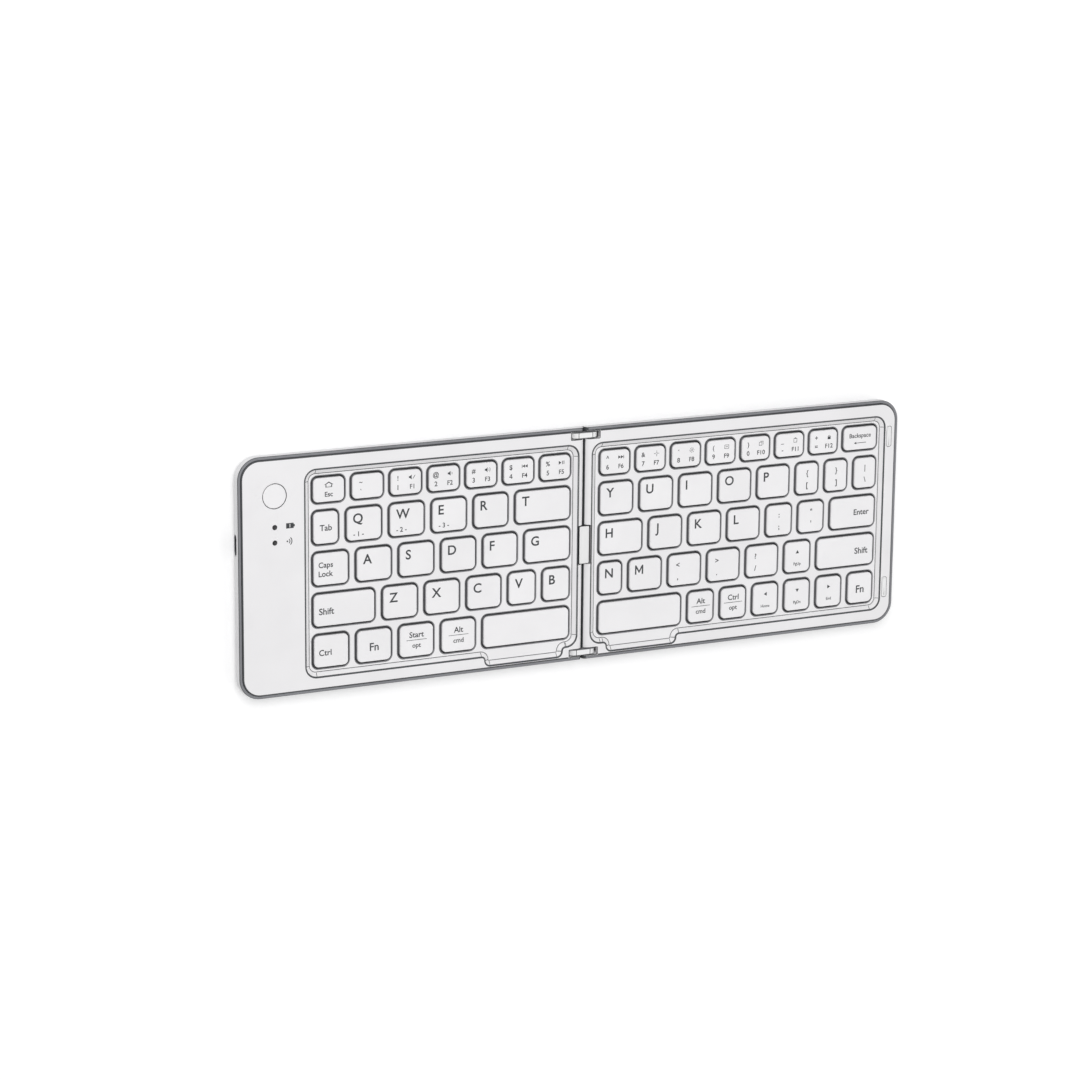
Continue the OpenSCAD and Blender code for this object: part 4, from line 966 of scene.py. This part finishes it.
def tray(half):
    """The bottom cover: its wall's section carried round three sides, the floor with its screw holes,
    and the low end wall along the fold."""
    body = Surface()
    edge = HALF_W[half]
    deep = CASE_D / 2
    section = softened(
        [(-2.7, FLOOR_Z - 0.3), (-2.7, FOOT_H), (-2.0, FOOT_H), (0, FOOT_H + 2.4), (0, LIP_Z),
         (-LIP_W, LIP_Z), (-LIP_W, LEDGE_Z), (-INNER, LEDGE_Z), (-INNER, FLOOR_Z), (-2.7, FLOOR_Z)],
        [0, 0.6, 1.1, 0.34, 0.12, 0.05, 0.1, 0.0], 4)
    loop, out = rounded_path([(END_U, -deep), (edge, -deep), (edge, deep), (END_U, deep)],
                             [0, CORNER_R, CORNER_R, 0], CORNER_STEPS, closed=False)
    corners = slice(CORNER_STEPS + 1, -CORNER_STEPS - 1)
    steps = np.concatenate([NOSE_STEPS, [NOTCH_U - 0.01, NOTCH_U + 0.01]])
    front = np.column_stack([steps, np.full(len(steps), -deep)])
    loop = np.concatenate([front, loop[corners], (front * [1, -1])[::-1]])
    straight = np.tile([0, 1], (len(steps), 1))
    out = np.concatenate([-straight, out[corners], straight])
    wall = carried(loop, out, section)

    # Beside the link plates the wall is thinner, and its top follows the rounded edge
    near = (wall[:, :, 0] < NOTCH_U) & (wall[:, :, 2] > 1.7)
    wall[:, :, 1] = np.where(near & (np.abs(wall[:, :, 1]) < NOTCH[1]), np.sign(wall[:, :, 1]) * NOTCH[1],
                             wall[:, :, 1])
    wall[:, :, 2] = np.minimum(wall[:, :, 2], nose(wall[:, :, 0]))
    body.grid(wall, around=False, back=True)
    for column in (0, -1):
        end = wall[:, column]
        flat, triangles = fill([end[:, 1:]])
        body.add(np.column_stack([np.full(len(flat), end[0, 0]), flat]), triangles)
    if half == "left":
        body = with_port_slot(body)

    # The floor between the wall's feet, with a hole for each screw
    inset = 2.65
    floor = rounded_path(
        [(END_U, -deep + inset), (edge - inset, -deep + inset), (edge - inset, deep - inset),
         (END_U, deep - inset)], [0, CORNER_R - inset, CORNER_R - inset, 0], 12)
    screws = [circle(u, y, HEAD_R + 0.15, 24) for u, y in screw_places(half)]
    soft = [(loop + normals * 0.1) for loop, normals in screws]
    body.region([floor[0]] + soft, FOOT_H)
    body.region([floor[0]] + [loop for loop, _ in screws], FLOOR_Z)
    body.grid(carried(*floor, np.array([(0, FOOT_H), (0, FLOOR_Z)])))
    for loop, normals in screws:
        body.grid(carried(loop, normals, np.array([(0.1, FOOT_H), (0.03, FOOT_H + 0.03), (0, FOOT_H + 0.1),
                                                   (0, FLOOR_Z)])))

    # The low end wall, hollowed as an arc about the pivot
    turn = np.linspace(*(math.acos((PIVOT_Z - z) / SILL_R) for z in SILL_Z), 6)
    curve = np.stack([PIVOT_U - SILL_R * np.sin(turn), PIVOT_Z - SILL_R * np.cos(turn)], 1)
    sill = np.concatenate([[(END_U, FLOOR_Z - 0.2), (END_U, SILL_Z[0])], curve, [(1.4, FLOOR_Z - 0.2)]])
    ends = np.array([-NOTCH[0], NOTCH[0]])
    rings = np.stack([np.column_stack([sill[:, 0], np.full(len(sill), y), sill[:, 1]]) for y in ends])
    body.grid(rings)
    flat, triangles = fill([sill])
    for y in ends:
        body.add(np.column_stack([flat[:, 0], np.full(len(flat), y), flat[:, 1]]), triangles)
    return outward(half, body)


def gap_shade_faces(middle):
    """The cover's faces that show in a gap, grey as painted shade: key frames and closing faces, and the
    mouths beside the wells.
    """
    u = np.abs(middle[:, 0] - SPLIT_X)
    well_end = np.where(middle[:, 0] > SPLIT_X, WELL["right"][1], WELL["left"][1])
    mouth = (u > well_end + 0.6) & (u < well_end + 14.2) & (np.abs(middle[:, 1]) < 42)
    at_rim = (middle[:, 0] > SPLIT_X) & (u > well_end + 3.8)
    return (middle[:, 2] < DECK_Z - 0.015) | (mouth & ~at_rim & (middle[:, 2] < CASE_H - 0.03))


def rim_edge_shade(middle):
    """A narrow band round the cover's outer edge, and the fold's faces, dark grey like the lip beside it:
    painted shade on the edge's rounding and in the fold's groove.
    """
    u, y = np.abs(middle[:, 0] - SPLIT_X), np.abs(middle[:, 1])
    width = np.where(middle[:, 0] > SPLIT_X, HALF_W["right"], HALF_W["left"])
    reach = COVER_IN + np.where(u > NOTCH_U, RIM_BAND - 0.005, 0.15)
    corner = np.hypot(np.maximum(u - width + CORNER_R, 0),
                      np.maximum(y - CASE_D / 2 + CORNER_R, 0)) > CORNER_R - reach
    fold = (u < 0.5) & (y < NOTCH[0])
    return (corner & (middle[:, 2] > LEDGE_Z + 0.05)) | fold


def lip_faces(middle):
    """The tray's lip with its bevel, down to where the wall's light grain starts."""
    u = np.abs(middle[:, 0] - SPLIT_X)
    return middle[:, 2] > np.minimum(LIP_Z - 0.6, nose(u) - 0.6)


def lip_top(middle):
    """The lip's narrow flat top, a lighter grey than its bevel."""
    u = np.abs(middle[:, 0] - SPLIT_X)
    return middle[:, 2] > np.minimum(LIP_Z, nose(u)) - 0.012


for half in ("left", "right"):
    body = half + "_half"
    piece(half + "_cover", top_cover(half), body, cover_abs, (half + "_top_cover",), sharp=50,
          second=(gap_shade_faces, gap_shade_pc), third=(rim_edge_shade, lip_and_shade_pc))
    piece(half + "_tray", tray(half), body, shell_pearl, (half + "_bottom_cover",), sharp=50,
          second=(lip_faces, lip_and_shade_pc), third=(lip_top, lip_pc))
    piece(half + "_painted_shade_lines", painted_shade_lines(half), body, lip_and_shade_pc, sharp=50)

# ---------------------------------------------------------------- hinge, cable and sleeve
def link_side_shade(middle):
    """The blanked sides and chamfers of the link plates, grey as painted shade in their notches' gaps."""
    return np.abs(np.abs(middle[:, 1]) - LINK_Y) > LINK_T / 2 - 0.24


def bend_shade_lines(middle):
    """The dark lines over the pivots, painted shade where the plates' flat tops start to round off."""
    return middle[:, 2] > CASE_H + 0.004


links = Surface()
for side in (-1, 1):
    plate = Surface()
    plate.slab(rounded_path(rectangle(-LINK_W / 2, PIVOT_Z - LINK_H / 2, LINK_W, LINK_H),
                            LINK_H / 2 - 0.001, 16),
               softened([(-0.6, -LINK_T / 2), (0, -LINK_T / 2), (0, LINK_T / 2), (-0.6, LINK_T / 2)],
                        [0.25, 0.25], 3)[1:-1],
               [circle(x, PIVOT_Z, PIN_HOLE_R, 24) for x in (-PIVOT_U, PIVOT_U)])
    links.join(plate, lambda points: points[:, [0, 2, 1]] + [SPLIT_X, side * LINK_Y, 0])
# Dark bars over the pivots: painted shade lines where the plates' tops round off
across = np.array([(x, side * LINK_Y) for side in (-1, 1) for x in (SPLIT_X - PIVOT_U, SPLIT_X + PIVOT_U)])
ends = [np.column_stack([across + [0, y], np.full(4, CASE_H + 0.014)]) for y in (-LINK_T / 2, LINK_T / 2)]
links.bars(*ends, np.tile([0.3, 0, 0], (4, 1)), 0.1)
piece("link_plates", links, "hinge", link_lacquer, ("hinge_links",), sharp=50,
      second=(link_side_shade, gap_shade_pc), third=(bend_shade_lines, lip_and_shade_pc))


def sleeve_side_shade(middle):
    """The sleeve's sides and feet, dark grey as painted shade in the gaps beside it."""
    return middle[:, 2] < 7.55


sleeve = Surface()
sleeve_front, sleeve_d = SLEEVE_Y[0] + SLEEVE_END, SLEEVE_Y[1] - SLEEVE_Y[0] - 2 * SLEEVE_END
sleeve.slab(rounded_path(rectangle(SPLIT_X - SLEEVE_W / 2, sleeve_front, SLEEVE_W, sleeve_d), 0.55, 6),
            softened([(-1.1, 7.7), (0, 7.7), (0, 4.6), (-0.4, 4.6)], [0.4, 0.1], 4)[1:])
sleeve.slab(rounded_path(rectangle(SPLIT_X - SLEEVE_FOOT_W / 2, sleeve_front, SLEEVE_FOOT_W, sleeve_d),
                         0.3, 3),
            softened([(-0.3, 5.1), (0, 5.1), (0, 4.5), (-0.3, 4.5)], [0.1, 0.1], 2))
cable = softened([(12.0, 2.725), (7.0, 2.725), (4.2, 4.175), (0, 4.175)], [0.9, 0.9], 5)
across = np.gradient(cable, axis=0)
across = unit(np.stack([-across[:, 1], across[:, 0]], 1)) * 0.075
cable = np.concatenate([cable + across, (cable - across)[::-1]])
for side, joint, half in ((-1, "fold_left", "left"), (1, "fold_right", "right")):
    boot = piece("cable_sleeve_" + half, sleeve, "hinge", sleeve_silicone,
                 ("cable_sleeve",), sharp=50, second=(sleeve_side_shade, lip_and_shade_pc))
    work = bmesh.new()
    work.from_mesh(boot.data)
    cut = bmesh.ops.bisect_plane(work, geom=work.verts[:] + work.edges[:] + work.faces[:], dist=1e-7,
                                 plane_co=(SPLIT_X * 0.001, 0, 0), plane_no=(-side, 0, 0), clear_outer=True)
    bmesh.ops.triangle_fill(work, edges=[e for e in cut["geom_cut"] if isinstance(e, bmesh.types.BMEdge)])
    bmesh.ops.recalc_face_normals(work, faces=work.faces)
    work.to_mesh(boot.data)
    work.free()
    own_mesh(boot)

    strip = Surface()
    rings = np.stack([np.column_stack([SPLIT_X + side * cable[:, 0], np.full(len(cable), y), cable[:, 1]])
                      for y in RIBBON_Y])
    strip.grid(rings)
    flat, triangles = fill([cable])
    for y in RIBBON_Y:
        strip.add(np.column_stack([SPLIT_X + side * flat[:, 0], np.full(len(flat), y), flat[:, 1]]),
                  triangles)
    ribbon = piece("ribbon_" + half, strip, None, ribbon_film, ("ribbon_cable",))
    if side < 0:
        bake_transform(ribbon)
    else:
        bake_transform(ribbon)

# ---------------------------------------------------------------- small parts
def button_side_shade(middle):
    """The button's side and flange, dark grey as painted shade in the gap round it."""
    return middle[:, 2] < 7.84


button = Surface()
button.turned(SPLIT_X - BUTTON[0], BUTTON[1], np.concatenate([
    [(0, 7.86), (2.0, 7.87), (3.4, 7.92)],
    softened([(4.3, 7.98), (BUTTON_R, CASE_H), (BUTTON_R, 6.75)], [0.28], 4),
    [(FLANGE_R, 6.75), (FLANGE_R, 6.2), (1.0, 6.2), (1.0, 4.9), (0.9, 4.85), (0, 4.85)]]), 64)
piece("round_button", button, "connect_button", cap_abs, ("connect_button",), sharp=50,
      second=(button_side_shade, lip_and_shade_pc))

lenses = Surface()
for y in LIGHTS_Y:
    lenses.turned(SPLIT_X - BUTTON[0], y, [
        (0, 8.0), (0.5, 7.99), (0.85, 7.96), (LENS_R, 7.88), (LENS_R, 6.8), (1.6, 6.8), (1.6, 6.2),
        (LENS_R, 6.2), (LENS_R, 4.6), (0.9, 4.5), (0, 4.5)], 24)
piece("light_lenses", lenses, "left_half", lens_acrylic, ("indicator_lights",), sharp=50)

bumpers = Surface()
for side in (-1, 1):
    bumpers.slab(rounded_path(rectangle(SPLIT_X + BUMPER_U - BUMPER_W / 2, side * BUMPER_Y - BUMPER_D / 2,
                                        BUMPER_W, BUMPER_D), 0.8, 10),
                 softened([(-0.9, 8.2), (0, 8.16), (0, 7.5), (-0.2, 7.5)], [0.3, 0.05], 5))
piece("closing_pads", bumpers, "right_half", bumper_silicone, ("closing_bumpers",), sharp=50)

CROSS = np.array([(-.2, -.85), (.2, -.85), (.2, -.2), (.85, -.2), (.85, .2), (.2, .2), (.2, .85), (-.2, .85),
                  (-.2, .2), (-.85, .2), (-.85, -.2), (-.2, -.2)])
for half in ("left", "right"):
    side = 1 if half == "right" else -1
    feet = Surface()
    for u in (FOOT_IN, HALF_W[half] - FOOT_IN):
        for y in (-FOOT_Y, FOOT_Y):
            feet.turned(SPLIT_X + side * u, y, np.concatenate([
                [(0, 1.0), (FOOT_R, 1.0), (FOOT_R, 0.4)],
                softened([(FOOT_R, 0.4), (FOOT_R, 0), (3.1, 0)], [0.3], 4)[1:],
                [(2.9, 0.0), (2.75, 0.14), (2.3, 0.14), (2.15, 0.0), (0, 0.0)]]), 40)
    piece(half + "_rubber_feet", feet, half + "_half", foot_rubber, (half + "_feet",),
          sharp=50)

    screws = Surface()
    for u, y in screw_places(half):
        x = SPLIT_X + side * u
        rim_loop, rim_out = circle(x, y, HEAD_R, 24)
        screws.grid(carried(rim_loop, rim_out, softened(
            [(-0.5, 0.7), (0, 0.7), (0, 1.3), (-0.75, 1.3)], [0.14, 0.04], 3)[1:]))
        screws.region([rim_loop - rim_out * 0.14, CROSS + [x, y]], 0.7)
        screws.region([CROSS + [x, y]], 1.1)
        screws.grid(np.stack([np.column_stack([CROSS + [x, y], np.full(12, z)]) for z in (0.7, 1.1)]))
        screws.grid(carried(rim_loop, rim_out, np.array(
            [(-0.75, 1.3), (-0.75, 5.2), (-1.0, 5.6), (-1.5, 5.6)])))
    piece(half + "_case_screws", screws, half + "_half", screw_steel, (half + "_screws",))

signs = Surface()
for sign, x, y, high in (
        ("battery", -130.9, LIGHTS_Y[0] + 0.2, 2.4), ("waves", -131.0, LIGHTS_Y[1] + 0.2, 2.0)):
    points, triangles, *_ = mark(sign, high, 0, 0, 0)
    signs.add(np.column_stack([points + [x, y], np.full(len(points), CASE_H + LIFT)]), triangles)
piece("light_signs", signs, "left_half", legend_ink, closed=False)

PLAIN_NODES = {
    "base_plate": plate_steel, "membrane": membrane_film, "rubber_domes": dome_silicone,
    "scissors": scissor_pom, "magnets": magnet_nickel,
}
SINGLE_NODES = {
    "main_board": board_laminate, "battery": battery_foil, "tact_switch": switch_nylon,
    "charge_port": port_steel, "hinge_pins": pin_steel,
}
finishes = {half + "_" + part: finish for half in ("left", "right") for part, finish in PLAIN_NODES.items()}
finishes.update(SINGLE_NODES)
for node, finish in finishes.items():
    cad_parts[node].data.materials.clear()
    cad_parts[node].data.materials.append(finish)

bpy.context.view_layer.update()

# ---------------------------------------------------------------- light, floor and camera
def aim(position, target):
    """Turns a lamp so that it looks at the target."""
    way = Vector(target) - Vector(position)
    return Matrix.Translation(position) @ way.to_track_quat("-Z", "Y").to_matrix().to_4x4()


def softbox(name, position, size, power):
    """A rectangular area lamp that looks at the origin."""
    lamp = bpy.data.lights.new(name, "AREA")
    lamp.shape = "RECTANGLE"
    lamp.size, lamp.size_y = size
    lamp.energy = power
    made = bpy.data.objects.new(name, lamp)
    made.matrix_world = aim(position, (0, 0, 0))
    bpy.context.scene.collection.objects.link(made)


softbox("key_softbox", (-0.5, 0.65, 1.15), (0.9, 0.8), 10.5)
softbox("fill_softbox", (0.8, -0.5, 1.0), (1.1, 1.1), 4.5)

SKY = 0.48  # strength of the light from all round
BEHIND = 0.7  # added where the camera sees the world itself
world = bpy.data.worlds.new("studio")
world.use_nodes = True
sky = world.node_tree.nodes["Background"]
sky.inputs["Color"].default_value = linear("#F3F3F4")
from_camera = add(world.node_tree, "ShaderNodeLightPath").outputs["Is Camera Ray"]
white = add(world.node_tree, "ShaderNodeMath", {0: from_camera}, {1: BEHIND, 2: SKY},
            operation="MULTIPLY_ADD")
world.node_tree.links.new(white.outputs[0], sky.inputs["Strength"])
bpy.context.scene.world = world

paper, tree, mm, shader = start("white_paper_floor")
seen = add(tree, "ShaderNodeLightPath")
shader.inputs["Base Color"].default_value = linear("#F4F4F4")
shader.inputs["Roughness"].default_value = 0.9
# To the camera the floor glows, more with its distance from the middle, and goes white far away
away = add(tree, "ShaderNodeVectorMath", {0: mm}, operation="LENGTH")
far = add(tree, "ShaderNodeMapRange", {"Value": away.outputs["Value"]},
          {"From Min": 120.0, "From Max": 2200.0, "To Min": 0.17, "To Max": 1.0})
glow = add(tree, "ShaderNodeMath", {0: seen.outputs["Is Camera Ray"], 1: far.outputs[0]},
           operation="MULTIPLY")
shader.inputs["Emission Color"].default_value = (1, 1, 1, 1)
tree.links.new(glow.outputs[0], shader.inputs["Emission Strength"])
floor_mesh = bpy.data.meshes.new("floor")
floor_mesh.from_pydata([(x, y, -5e-5) for x, y in rectangle(-4, -4, 8, 8)], [], [(0, 1, 2, 3)])
floor_mesh.materials.append(paper)
floor = bpy.data.objects.new("floor", floor_mesh)
bpy.context.scene.collection.objects.link(floor)


def camera_frame(azimuth, elevation, roll):
    """Right, up and back axes of a camera turned round the object and then rolled about its own axis."""
    a, e, r = (math.radians(v) for v in (azimuth, elevation, roll))
    back = np.array([math.sin(a) * math.cos(e), -math.cos(a) * math.cos(e), math.sin(e)])
    level = unit(np.cross([0, 0, 1.0], back))
    upright = np.cross(back, level)
    right = math.cos(r) * level + math.sin(r) * upright
    return right, np.cross(back, right), back


AZIMUTH, ELEVATION, ROLL = 242.178, 60.322, 115.168
CAMERA_AIM = np.array([-0.018806, 0.003491, 0.008])
CAMERA_AWAY = 1.422893
right, up, back = camera_frame(AZIMUTH, ELEVATION, ROLL)
lens = bpy.data.cameras.new("camera")
lens.lens = 114.894
lens.sensor_width = 36
lens.sensor_fit = "HORIZONTAL"
lens.clip_end = 20
lens.shift_x, lens.shift_y = -0.0019, 0.0009
camera = bpy.data.objects.new("camera", lens)
place = np.eye(4)
place[:3, 0], place[:3, 1], place[:3, 2] = right, up, back
place[:3, 3] = CAMERA_AIM + back * CAMERA_AWAY
camera.matrix_world = Matrix(place.tolist())
bpy.context.scene.collection.objects.link(camera)
bpy.context.scene.camera = camera
bpy.context.scene.view_settings.view_transform = "Standard"
